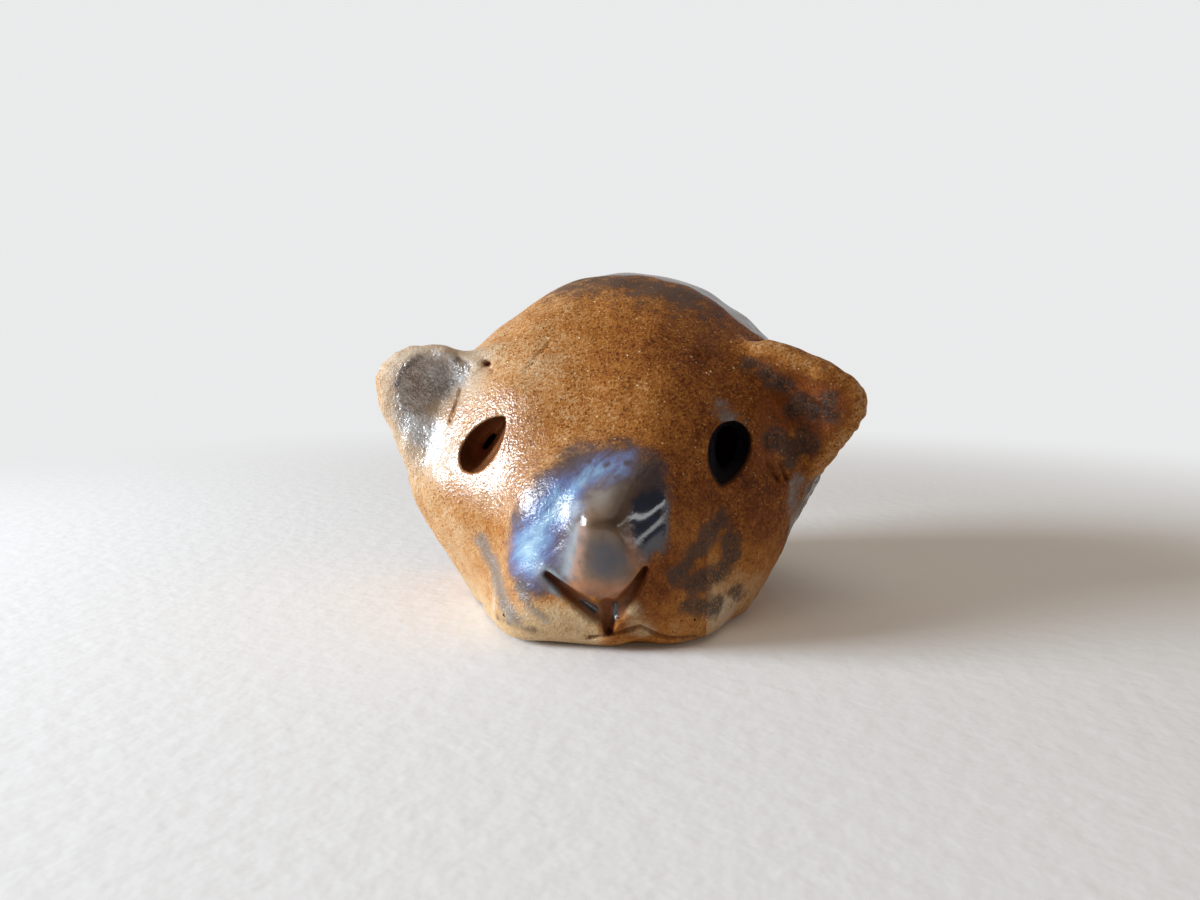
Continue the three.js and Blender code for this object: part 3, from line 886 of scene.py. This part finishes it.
GLAZE_FRONT, GLAZE_LEAN = 2.0, 0.2  # where the dark glaze ends in y, and how much that changes in x
GLAZE_RUN = 3.4  # how much further forwards it ran low on the left
RUN_SIDE, RUN_TOP = (10, 15), (11, 15)  # where that sets in, in x, and where it ends, in height
GLAZE_FOOT = 3.6
GLAZE_EDGE, GLAZE_RAGS, GLAZE_HEM = (1.0, 9.0, 21), (0.35, 3.0, 22), (0.6, 7.0, 23)


def back_glaze(points):
    """Inset of the dark glaze, which ends in an uneven line above the foot and behind the face."""
    x, y, z = points.T
    run = smoothstep(x, *RUN_SIDE) * (1 - smoothstep(z, *RUN_TOP))
    behind = y - GLAZE_FRONT + GLAZE_LEAN * x + GLAZE_RUN * run
    behind += waves(points, *GLAZE_EDGE) + waves(points, *GLAZE_RAGS)
    above = z - GLAZE_FOOT + waves(points, *GLAZE_HEM)
    return np.clip(np.minimum(behind, above), *INSET_LIMITS)


EAR_PAINT_X = 8.0  # how far out of the middle an ear's paint starts
EAR_SKIN = (-0.2, 0.8)  # distances from the egg between which the head becomes an ear
RIM = (0.4, 1.9)  # insets between which an ear's rim ends
BOWL_INSET, OFF_EAR = 1.2, 3.0  # how far in the bowl's paint starts, and how far out it counts off the ear


def ear_inset(points, shape):
    """How far points lie inside an ear's edge, and how surely they are on the ear and not on the head."""
    edge = -ear_lobe(points, shape)[1]
    on_side = points[:, 0] * shape["side"] > EAR_PAINT_X
    return edge, np.where(on_side, smoothstep(egg(points), *EAR_SKIN), 0)


def ear_rim(points, shape):
    """1 on the edge of an ear, falling to 0 towards its middle and off it."""
    edge, on_ear = ear_inset(points, shape)
    return (1 - smoothstep(edge, *RIM)) * on_ear


def ear_bowl(points, shape):
    """Inset of what lies in the pressed front of an ear."""
    edge, on_ear = ear_inset(points, shape)
    return front_inset(points, edge - BOWL_INSET - OFF_EAR * (1 - on_ear))


def eye_inset(points, eye):
    """How far points lie inside an eye in the front view."""
    return front_inset(points, -eye_leaf(points, eye))


STAIN, STAIN_AND_SHADE_SLOPE, STAIN_SPAN = 0.56, 0.016, (-11, 10)  # strength in the middle, and its rise in x, partly painted shade on the side away from the window
# paleness of each place: partly rubbed and partly painted light on the cheek, and painted light on the jowl
# and the brow
PALER = {"cheek": 0.12, "jowl": 0.32, "brow": 0.11, "right_rim": 0.12, "left_rim": 0.28}


def stain_and_shading(points):
    """Strength of the iron staining: deeper towards the left, where part of the rise is painted shade on the
    side away from the window, and paler on the ears' rims, on the low cheek towards the window (partly
    rubbed, partly painted light), on the forehead towards the window (painted light) and low down on the side
    away from it (painted light from the paper's bounce).
    """
    x, _, z = points.T
    paler = {
        # partly rubbed, partly painted light on the low cheek that faces the window
        "cheek": smoothstep(-x, 2, 10) * (1 - smoothstep(z, 5, 13)),
        # painted light, for the light the paper throws up onto the low side away from the window
        "jowl": smoothstep(x, 3, 7) * (1 - smoothstep(z, 2, 6)),
        # painted light on the forehead, which faces the window
        "brow": smoothstep(-x, -2, 8) * smoothstep(z, 14, 22),
        "right_rim": ear_rim(points, RIGHT_EAR),
        "left_rim": ear_rim(points, LEFT_EAR),
    }
    return STAIN + STAIN_AND_SHADE_SLOPE * np.clip(x, *STAIN_SPAN) - sum(PALER[k] * paler[k] for k in PALER)


# What the materials read at every point of the clay
PAINT = {layer: partial(painted, layer=layer) for layer in (*STROKES, *PATCHES)}
PAINT |= {
    "stain_and_shading": stain_and_shading,
    "wash_and_shade": wash_and_shade,
    "ember": partial(ear_bowl, shape=LEFT_EAR),
    "ink": lambda points: np.maximum(painted(points, "ink"), eye_inset(points, LEFT_EYE)),
    # the right eye, whose walls carry painted shade
    "socket": partial(eye_inset, eye=RIGHT_EYE),
    "back": back_glaze,
    "deep": lambda points: np.clip(-skin(points), *DEPTH_LIMITS),
}


def tone(red, green, blue):
    """A colour given as it looks on a screen, from 0 to 255, as light."""
    shares = [value / 255 for value in (red, green, blue)]
    return tuple(s / 12.92 if s <= 0.04045 else ((s + 0.055) / 1.055) ** 2.4 for s in shares) + (1.0,)


CLAY_SPECULAR = 0.15
GLAZE_ROUGHNESS = 0.09
GLAZE_IOR = 2.0


class Surface:
    """A fired surface's nodes: a body of clay with coats laid over it."""

    def __init__(self, name):
        self.material = bpy.data.materials.new(name)
        self.material.use_nodes = True
        self.tree = self.material.node_tree
        self.shader = self.tree.nodes["Principled BSDF"]
        place = self.node("TexCoord").outputs["Object"]
        self.place = self.node("VectorMath", {0: place, "Scale": 1 / MM}, operation="SCALE").outputs["Vector"]
        self.height = self.node("SeparateXYZ", {0: self.place}).outputs["Z"]

    def node(self, kind, sockets=(), **settings):
        made = self.tree.nodes.new("ShaderNode" + kind)
        for key, setting in settings.items():
            setattr(made, key, setting)
        self.wire(made, sockets)
        return made

    def wire(self, node, sockets):
        """Links or sets a node's inputs."""
        for key, value in dict(sockets).items():
            if isinstance(value, bpy.types.NodeSocket):
                self.tree.links.new(value, node.inputs[key])
            else:
                node.inputs[key].default_value = value

    def paint(self, layer):
        return self.node("Attribute", attribute_name=layer).outputs["Fac"]

    def math(self, operation, first, second):
        return self.node("Math", {0: first, 1: second}, operation=operation).outputs[0]

    def times(self, first, second):
        return self.math("MULTIPLY", first, second)

    def weigh(self, *terms):
        """Sum of values, each with its weight."""
        total = 0.0
        for value, weight in terms:
            total = self.node("Math", {0: value, 1: weight, 2: total}, operation="MULTIPLY_ADD").outputs[0]
        return total

    def noise(self, per_mm, detail, warp=0.0, place=None):
        """Noise about nought, with so many swells for each millimetre."""
        sockets = {"Vector": place or self.place, "Scale": per_mm, "Detail": detail, "Distortion": warp}
        return self.math("SUBTRACT", self.node("TexNoise", sockets).outputs[0], 0.5)

    def dots(self, per_mm, size, soft):
        """Round dots strewn over the clay: 1 inside them."""
        cells = self.node("TexVoronoi", {"Vector": self.place, "Scale": per_mm})
        return self.step(cells.outputs["Distance"], size + soft, size)

    def along(self, way):
        """How far places lie along a way."""
        return self.node("VectorMath", {0: self.place, 1: way}, operation="DOT_PRODUCT").outputs["Value"]

    def flow(self, *ways):
        """Places measured along other ways, to stretch a noise."""
        return self.node("CombineXYZ", enumerate(map(self.along, ways))).outputs["Vector"]

    def step(self, value, low, high):
        """Rises smoothly from 0 at low to 1 at high."""
        sockets = {"Value": value, "From Min": low, "From Max": high}
        return self.node("MapRange", sockets, interpolation_type="SMOOTHSTEP").outputs["Result"]

    def layer(self, name, low, high, mottle, grain=0.0):
        """Where a painted layer lies: it sets in between two insets, frayed by the mottling and the grain."""
        inset = self.weigh((self.paint(name), 1.0), (self.mottle, mottle), (self.grain, grain))
        return self.step(inset, low, high)

    def ramp(self, value, stops):
        made = self.node("ValToRGB", {"Fac": value})
        elements = made.color_ramp.elements
        while len(elements) < len(stops):
            elements.new(0.5)
        for element, (place, colour) in zip(elements, stops):
            element.position = place
            element.color = tone(*colour)
        return made.outputs["Color"]

    def tones(self, mottle, grain, *stops):
        """Tones mixed by the mottling and the grain."""
        return self.ramp(self.weigh((self.mottle, mottle), (self.grain, grain), (1.0, 0.5)), stops)

    def blend(self, share, first, second):
        return self.node("Mix", {0: share, 6: first, 7: second}, data_type="RGBA").outputs[2]

    def between(self, share, first, second):
        return self.node("Mix", {0: share, 2: first, 3: second}, data_type="FLOAT").outputs[0]

    def tint(self, share, *colour):
        """Colours the bare clay."""
        self.colour = self.blend(share, self.colour, tone(*colour))

    def coat(self, share, colour, keep, shine, most=1.0):
        """Lays a coat on: how much of the relief it keeps, how it shines, and how much it hides at most."""
        share = self.times(share, most)
        self.colour = self.blend(share, self.colour, colour)
        self.relief = self.times(self.relief, self.between(share, 1.0, keep))
        self.shine = self.between(share, self.shine, shine)

    def ripple(self, share, skin, height):
        """Gives a coat an uneven skin, so many millimetres high."""
        self.relief = self.weigh((self.relief, 1.0), (self.times(skin, share), height))

    def bump(self, height, distance):
        return self.node("Bump", {"Height": height, "Distance": distance, "Strength": 1.0}).outputs["Normal"]

    def finish(self):
        normal = self.bump(self.relief, MM)
        self.wire(self.shader, {
            "Base Color": self.colour, "Roughness": self.rough, "Specular IOR Level": CLAY_SPECULAR,
            "Coat Weight": self.shine, "Coat Roughness": GLAZE_ROUGHNESS, "Coat IOR": GLAZE_IOR,
            "Normal": normal, "Coat Normal": normal,
        })
        return self.material


CLAY_TONES = [
    (0.0, (216, 196, 172)), (0.22, (208, 165, 118)), (0.48, (180, 114, 46)), (0.75, (126, 64, 14)),
    (1.0, (60, 28, 8)),
]
COMB_WAYS = (0.45, 0.15, 0.32), (-0.6, 0.0, 0.8), (0.0, 0.9, 0.3)  # the clay was wiped along the first


def clay_body(s):
    """Iron-stained stoneware: a sandy grain, wiped streaks, mottling, dark pores, and pale specks high on the
    head that are painted glints of the sand.
    """
    s.grain = s.noise(5.2, 3.0, 0.6)
    comb = s.noise(4.0, 2.0, 0.3, s.flow(*COMB_WAYS))
    s.mottle = s.noise(1.0, 4.0)
    s.cloud = s.noise(0.16, 2.0)
    s.peel = s.noise(2.6, 2.0)
    fleck = s.noise(11.0, 1.0)
    sandy = s.between(s.step(s.height, 4.0, 16.0), 0.4, 0.8)
    coarse = s.weigh((s.grain, 1.0), (comb, 0.6))
    sand = s.times(coarse, sandy)
    depth = s.weigh((s.paint("stain_and_shading"), 1.0), (sand, 1.0), (s.mottle, 0.4), (s.cloud, 0.5))
    s.colour = s.ramp(depth, CLAY_TONES)
    s.tint(s.times(s.step(coarse, 0.08, 0.30), sandy), 84, 42, 12)
    s.tint(s.times(s.dots(2.3, 0.08, 0.10), sandy), 220, 166, 98)
    # painted glints: pale specks, more of them higher up, in place of the sparkle of the sand
    painted_glints = s.times(s.dots(1.5, 0.10, 0.07), s.step(s.peel, -0.04, 0.12))
    s.tint(s.times(painted_glints, s.step(s.height, 8.0, 18.0)), 255, 222, 168)
    s.tint(s.dots(1.9, 0.07, 0.10), 70, 40, 18)
    s.rough = s.weigh((s.grain, 0.4), (1.0, 0.62))
    s.relief = s.weigh((s.grain, 0.11), (comb, 0.06), (s.mottle, 0.06), (fleck, 0.04))
    s.shine = 0.03


def cream(s):
    """Bare pale clay on the chin and round the foot."""
    share = s.layer("cream", -0.5, 0.7, mottle=1.6, grain=0.6)
    colour = s.tones(0.6, 1.4, (0.2, (180, 142, 96)), (0.5, (206, 174, 130)), (0.8, (224, 198, 158)))
    s.coat(share, colour, keep=0.6, shine=0.1, most=0.85)


def ember(s):
    """Redder staining in the hollow of the left ear."""
    share = s.layer("ember", -0.6, 1.2, mottle=2.0)
    colour = s.tones(1.6, 2.4, (0.1, (60, 26, 10)), (0.5, (126, 58, 16)), (0.9, (176, 96, 34)))
    s.coat(share, colour, keep=0.9, shine=0.1, most=0.8)


def dark_wash_and_shade(s):
    """Strokes of dark oxide, worn off the high grains, with one stroke that is painted shade on the right
    ear's upper inner wall.
    """
    share = s.layer("wash_and_shade", -0.35, 0.35, mottle=1.6, grain=1.0)
    worn = s.times(share, s.step(s.grain, 0.26, -0.02))
    colour = s.tones(1.4, 1.6, (0.25, (42, 34, 31)), (0.75, (92, 70, 56)))
    s.coat(worn, colour, keep=0.8, shine=0.1, most=0.9)


def grey_glaze(s):
    """Thin grey glaze that lies in hollows and runs; its stroke on the right flank is a painted reflection on
    a glossy coat.
    """
    share = s.layer("grey", -0.4, 0.5, mottle=1.4, grain=0.9)
    colour = s.tones(1.3, 1.0, (0.2, (76, 68, 64)), (0.5, (110, 102, 96)), (0.85, (148, 142, 134)))
    s.coat(share, colour, keep=0.7, shine=0.5, most=0.8)


def ear_glaze(s):
    """Silver-grey glaze in the right ear: dark where it pooled, paler below, partly a paler glaze and partly
    painted light and sparkle, and a thin veil on the rim; its tones are lightened as painted light against
    the shade of the ear's rim.
    """
    veil = s.layer("bowl", -2.6, -0.2, mottle=1.4, grain=0.8)
    s.coat(veil, tone(204, 186, 164), keep=0.9, shine=0.1, most=0.6)
    # painted light: the lower bowl is paler, partly for the light and sparkle that fall there
    low = s.step(s.height, 18.0, 15.5)
    colour = s.ramp(s.weigh((s.mottle, 1.4), (s.grain, 1.2), (low, 0.3), (1.0, 0.46)), [
        (0.2, (138, 124, 116)), (0.5, (184, 174, 168)), (0.8, (222, 220, 218)),
    ])
    share = s.layer("bowl", -0.6, 0.5, mottle=1.4, grain=0.8)
    s.coat(share, colour, keep=0.8, shine=1.0, most=0.92)
    s.ripple(share, s.peel, 0.34)


def gloss(s):
    """A thin clear gloss with an uneven skin, by the right eye and ear."""
    share = s.layer("gloss", -1.2, 0.8, mottle=2.5)
    s.coat(share, s.colour, keep=0.4, shine=1.0)
    s.ripple(share, s.peel, 0.07)


RUN_WAYS = (0.2, 0.0, 0.2), (0.7, 0.0, -0.7)  # the glaze ran along the first
BLUE_TONES = [
    (0.0, (66, 54, 58)), (0.2, (78, 74, 100)), (0.4, (92, 110, 156)), (0.58, (116, 154, 194)),
    (0.78, (156, 194, 216)), (1.0, (196, 216, 224)),
]


def blue_glaze(s):
    """Pooled opalescent blue: a dull violet fringe, clouds of pale blue in the thick of it, and pinholes."""
    flow = s.flow(*RUN_WAYS)
    streak = s.noise(1.0, 4.0, 1.0, flow)
    thick = s.weigh((s.paint("core"), 0.34), (streak, 1.0), (s.mottle, 0.35), (1.0, 0.38))
    colour = s.ramp(thick, BLUE_TONES)
    colour = s.blend(s.step(s.paint("holes"), -0.25, 0.15), colour, tone(54, 46, 62))
    share = s.layer("blue", -0.5, 1.0, mottle=1.8, grain=0.3)
    s.coat(share, colour, keep=0.3, shine=0.4, most=0.94)
    s.ripple(share, s.peel, 0.02)
    s.ripple(share, s.noise(0.8, 1.0, 0.0, flow), 0.16)


def nose_glaze(s):
    """Grey glaze on the nose: a pale flank, painted shade on the right of its top, slate in front, and worn
    to orange at the edges.
    """
    def lay(name, low, high, most, colour, keep, shine=0.4):
        s.coat(s.layer(name, low, high, mottle=1.6), colour, keep, shine, most)

    lay("nose", -0.9, 0.9, 1.0, s.tones(1.4, 0.0, (0.25, (108, 82, 62)), (0.75, (146, 116, 88))), 0.2)
    lay("bridge", -0.7, 1.1, 0.9, tone(144, 138, 132), 0.3)
    lay("flank", -0.8, 0.5, 0.8, tone(150, 160, 166), 0.3)
    # painted shade on the right of the nose's top
    lay("shade", -0.7, 0.7, 0.85, tone(58, 42, 30), 0.4)
    lay("slate", -1.0, 0.8, 0.9, tone(72, 70, 78), 0.5)
    lay("ridge", -0.5, 0.6, 0.75, tone(176, 112, 68), 0.6, shine=0.5)


def pool(s):
    """Dark blue glaze, gathered beside the nose."""
    share = s.layer("pool", -0.35, 0.5, mottle=1.0)
    s.coat(share, s.tones(1.0, 0.0, (0.2, (10, 13, 22)), (0.8, (20, 32, 64))), keep=0.05, shine=0.85)


def dark_glaze(s):
    """Dark brown gloss glaze: black where it pools in the quill strokes, and amber where it thins."""
    back, deep = s.paint("back"), s.paint("deep")
    thick = s.weigh((s.mottle, 0.9), (s.cloud, 1.3), (deep, 1.2), (back, 0.06), (1.0, 0.34))
    colour = s.ramp(thick, [
        (0.1, (124, 76, 36)), (0.32, (82, 48, 26)), (0.6, (52, 32, 22)), (1.0, (24, 17, 15)),
    ])
    s.coat(s.layer("back", -0.3, 0.6, mottle=1.2), colour, keep=0.22, shine=0.8)


def crevices(s):
    """Stain that gathered in cuts and holes, inky in the left eye; darker and redder in the right eye, where
    the darkening is painted shade; and paler where cuts and holes run deepest, partly bare clay and partly
    painted light.
    """
    deep = s.paint("deep")
    # painted shade: the right eye's walls are darker
    colour = s.blend(s.step(s.paint("socket"), -0.3, 0.0), tone(122, 72, 42), tone(92, 48, 26))
    # paler deep inside: partly bare clay, partly painted light where little light reaches
    colour = s.blend(s.step(deep, 1.3, 3.2), colour, tone(204, 126, 78))
    shallow = s.times(s.step(deep, 0.08, 0.45), s.step(s.paint("back"), 0.5, -0.5))
    share = s.math("MAXIMUM", shallow, s.step(deep, 0.5, 1.0))
    s.coat(share, colour, keep=0.7, shine=0.0, most=0.88)
    ink = s.times(s.step(s.paint("ink"), -0.1, 0.2), s.step(deep, 0.2, 0.7))
    colour = s.blend(s.step(deep, 0.8, 2.8), tone(24, 26, 32), tone(52, 58, 72))
    s.coat(ink, colour, keep=0.5, shine=0.8, most=0.95)


# Each finish: its coats over the clay, from the first to the last
FINISHES = {
    "stained_clay": (
        clay_body, cream, ember, ear_glaze, dark_wash_and_shade, grey_glaze, gloss, blue_glaze, dark_glaze, crevices,
    ),
    "dark_glaze": (clay_body, dark_wash_and_shade, dark_glaze, crevices),
    "pale_clay": (clay_body, cream, dark_wash_and_shade, dark_glaze, crevices),
    "blue_glaze": (clay_body, cream, dark_wash_and_shade, grey_glaze, gloss, blue_glaze, nose_glaze, pool, crevices),
    "grey_glaze": (clay_body, blue_glaze, nose_glaze, pool, crevices),
}


def fired(finish):
    surface = Surface(finish)
    for coat in FINISHES[finish]:
        coat(surface)
    return surface.finish()


def place_in_scene(item):
    bpy.context.scene.collection.objects.link(item)


materials = {finish: fired(finish) for finish in FINISHES}

for node, own_side, pitch, finish in PIECES:
    low, high = node_box(node)
    low, high = low - MIDDLE - NET_MARGIN, high - MIDDLE + NET_MARGIN
    points, quads, is_skin = net(own_side, low, high, pitch)
    mesh = build_mesh("fired_" + node, points, quads, is_skin)
    for layer, rule in PAINT.items():
        values = mesh.attributes.new(layer, "FLOAT", "POINT").data
        values.foreach_set("value", rule(points).astype(np.float32))
    piece = bpy.data.objects.new("fired_" + node, mesh)
    piece.data.materials.append(materials[finish])
    place_in_scene(piece)
    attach(piece, "root")
    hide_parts(node)

# Stage: a pale dish, flat under the figurine and turned up all round
DISH_HUB, DISH_FLAT, DISH_CURVE, DISH_TOP = 0.006, 0.30, 0.22, 0.60
DISH_STEPS, DISH_SEGMENTS = 16, 64
PAPER = (0.91, 0.91, 0.91, 1.0)
PAPER_ROUGHNESS, PAPER_SPECULAR = 0.85, 0.2
PAPER_TOOTH = 0.00008
PAPER_GLOW = (0.035, 0.025, 0.015, 1.0)
WALL_GREY = (0.25, 0.25, 0.25, 1.0)
WALL_GLOW = (0.82, 0.825, 0.83, 1.0)
WALL_START = (48.0, 150.0)  # between these distances the paper turns into the wall
ROOM_WAY = (-0.6, 0.8, 0.0)  # from the dark of the room to the bright paper
ROOM_SPAN = (-120.0, 60.0)
ROOM_SHARE = 0.1  # how bright the dark of the room is in reflections, beside the paper

profile = [(DISH_HUB, 0.0), (DISH_FLAT, 0.0)]
for i in range(1, DISH_STEPS + 1):
    angle = math.pi / 2 * i / DISH_STEPS
    profile.append((DISH_FLAT + DISH_CURVE * math.sin(angle), DISH_CURVE * (1 - math.cos(angle))))
profile.append((DISH_FLAT + DISH_CURVE, DISH_TOP))
corners = []
for reach, height in profile:
    for i in range(DISH_SEGMENTS):
        turn = 2 * math.pi * i / DISH_SEGMENTS
        corners.append((reach * math.cos(turn), reach * math.sin(turn), height))
strips = [tuple(range(DISH_SEGMENTS))]
for ring in range(len(profile) - 1):
    for i in range(DISH_SEGMENTS):
        a, b = ring * DISH_SEGMENTS + i, ring * DISH_SEGMENTS + (i + 1) % DISH_SEGMENTS
        strips.append((a, a + DISH_SEGMENTS, b + DISH_SEGMENTS, b))
floor_mesh = bpy.data.meshes.new("floor")
floor_mesh.from_pydata(corners, [], strips)
floor_mesh.polygons.foreach_set("use_smooth", np.ones(len(strips), bool))
floor = bpy.data.objects.new("floor", floor_mesh)


def paper():
    """Pale paper with a faint tooth, and a wall that glows for the camera and in reflections only."""
    s = Surface("paper")
    wall = s.step(s.node("VectorMath", {0: s.place}, operation="LENGTH").outputs["Value"], *WALL_START)
    ray = s.node("LightPath").outputs
    mirrored = s.math("MAXIMUM", ray["Is Glossy Ray"], ray["Is Transmission Ray"])
    seen = s.math("MAXIMUM", ray["Is Camera Ray"], mirrored)
    unseen = s.times(wall, s.math("SUBTRACT", 1.0, seen))
    s.wire(s.shader, {
        "Base Color": s.blend(unseen, PAPER, WALL_GREY),
        "Roughness": PAPER_ROUGHNESS,
        "Specular IOR Level": PAPER_SPECULAR,
        "Normal": s.bump(s.noise(0.6, 2.0), PAPER_TOOTH),
        "Emission Color": PAPER_GLOW,
        "Emission Strength": ray["Is Camera Ray"],
    })
    room = s.between(s.step(s.along(ROOM_WAY), *ROOM_SPAN), ROOM_SHARE, 1.0)
    shown = s.math("MAXIMUM", ray["Is Camera Ray"], room)
    glow = s.node("Emission", {"Color": WALL_GLOW, "Strength": shown})
    mixed = s.node("MixShader", {0: s.times(wall, seen), 1: s.shader.outputs[0], 2: glow.outputs[0]})
    s.wire(s.tree.nodes["Material Output"], {"Surface": mixed.outputs[0]})
    return s.material


floor.data.materials.append(paper())
place_in_scene(floor)

# Each lamp: its place, where it is aimed, its width and height, its power and its colour
LAMPS = {
    "window": ((-0.255, -0.07, 0.095), (0.0, 0.0, 0.012), (0.12, 0.11), 1.06, (0.90, 1.0, 1.10)),
    "ceiling": ((0.0, 0.0, 0.5), (0.0, 0.0, 0.0), (0.5, 0.5), 0.38, (1.12, 0.98, 0.84)),
    "high_strip": ((0.24, -0.05, 0.092), (0.0, -0.015, 0.01), (0.26, 0.020), 0.042, (1.0, 1.0, 1.0)),
    "low_strip": ((0.24, -0.05, 0.022), (0.0, -0.015, 0.01), (0.26, 0.020), 0.032, (1.0, 1.0, 1.0)),
}
for name, (place, aim, size, power, colour) in LAMPS.items():
    light = bpy.data.lights.new(name, "AREA")
    light.shape = "RECTANGLE"
    light.size, light.size_y = size
    light.energy, light.color = power, colour
    lamp = bpy.data.objects.new(name, light)
    lamp.location = place
    lamp.rotation_euler = (Vector(aim) - Vector(place)).to_track_quat("-Z", "Y").to_euler()
    lamp.visible_camera = False
    place_in_scene(lamp)

ROOM_LIGHT, ROOM_STRENGTH = (1.15, 0.93, 0.72, 1.0), 0.27
world = bpy.data.worlds.new("room")
world.use_nodes = True
background = world.node_tree.nodes["Background"].inputs
background["Color"].default_value = ROOM_LIGHT
background["Strength"].default_value = ROOM_STRENGTH
bpy.context.scene.world = world

CAMERA_PLACE = Vector(MIDDLE + (5.12, -87.19, 24.0)) * MM
CAMERA_YAW, CAMERA_PITCH = math.radians(4.0), math.radians(7.35)
camera_data = bpy.data.cameras.new("camera")
camera_data.lens, camera_data.sensor_width = 30.0, 36.0
camera_data.clip_start, camera_data.clip_end = 0.005, 20.0
camera = bpy.data.objects.new("camera", camera_data)
camera.location = CAMERA_PLACE
camera.rotation_euler = (math.pi / 2 - CAMERA_PITCH, 0.0, CAMERA_YAW)
place_in_scene(camera)
bpy.context.scene.camera = camera
bpy.context.scene.view_settings.view_transform = "Standard"
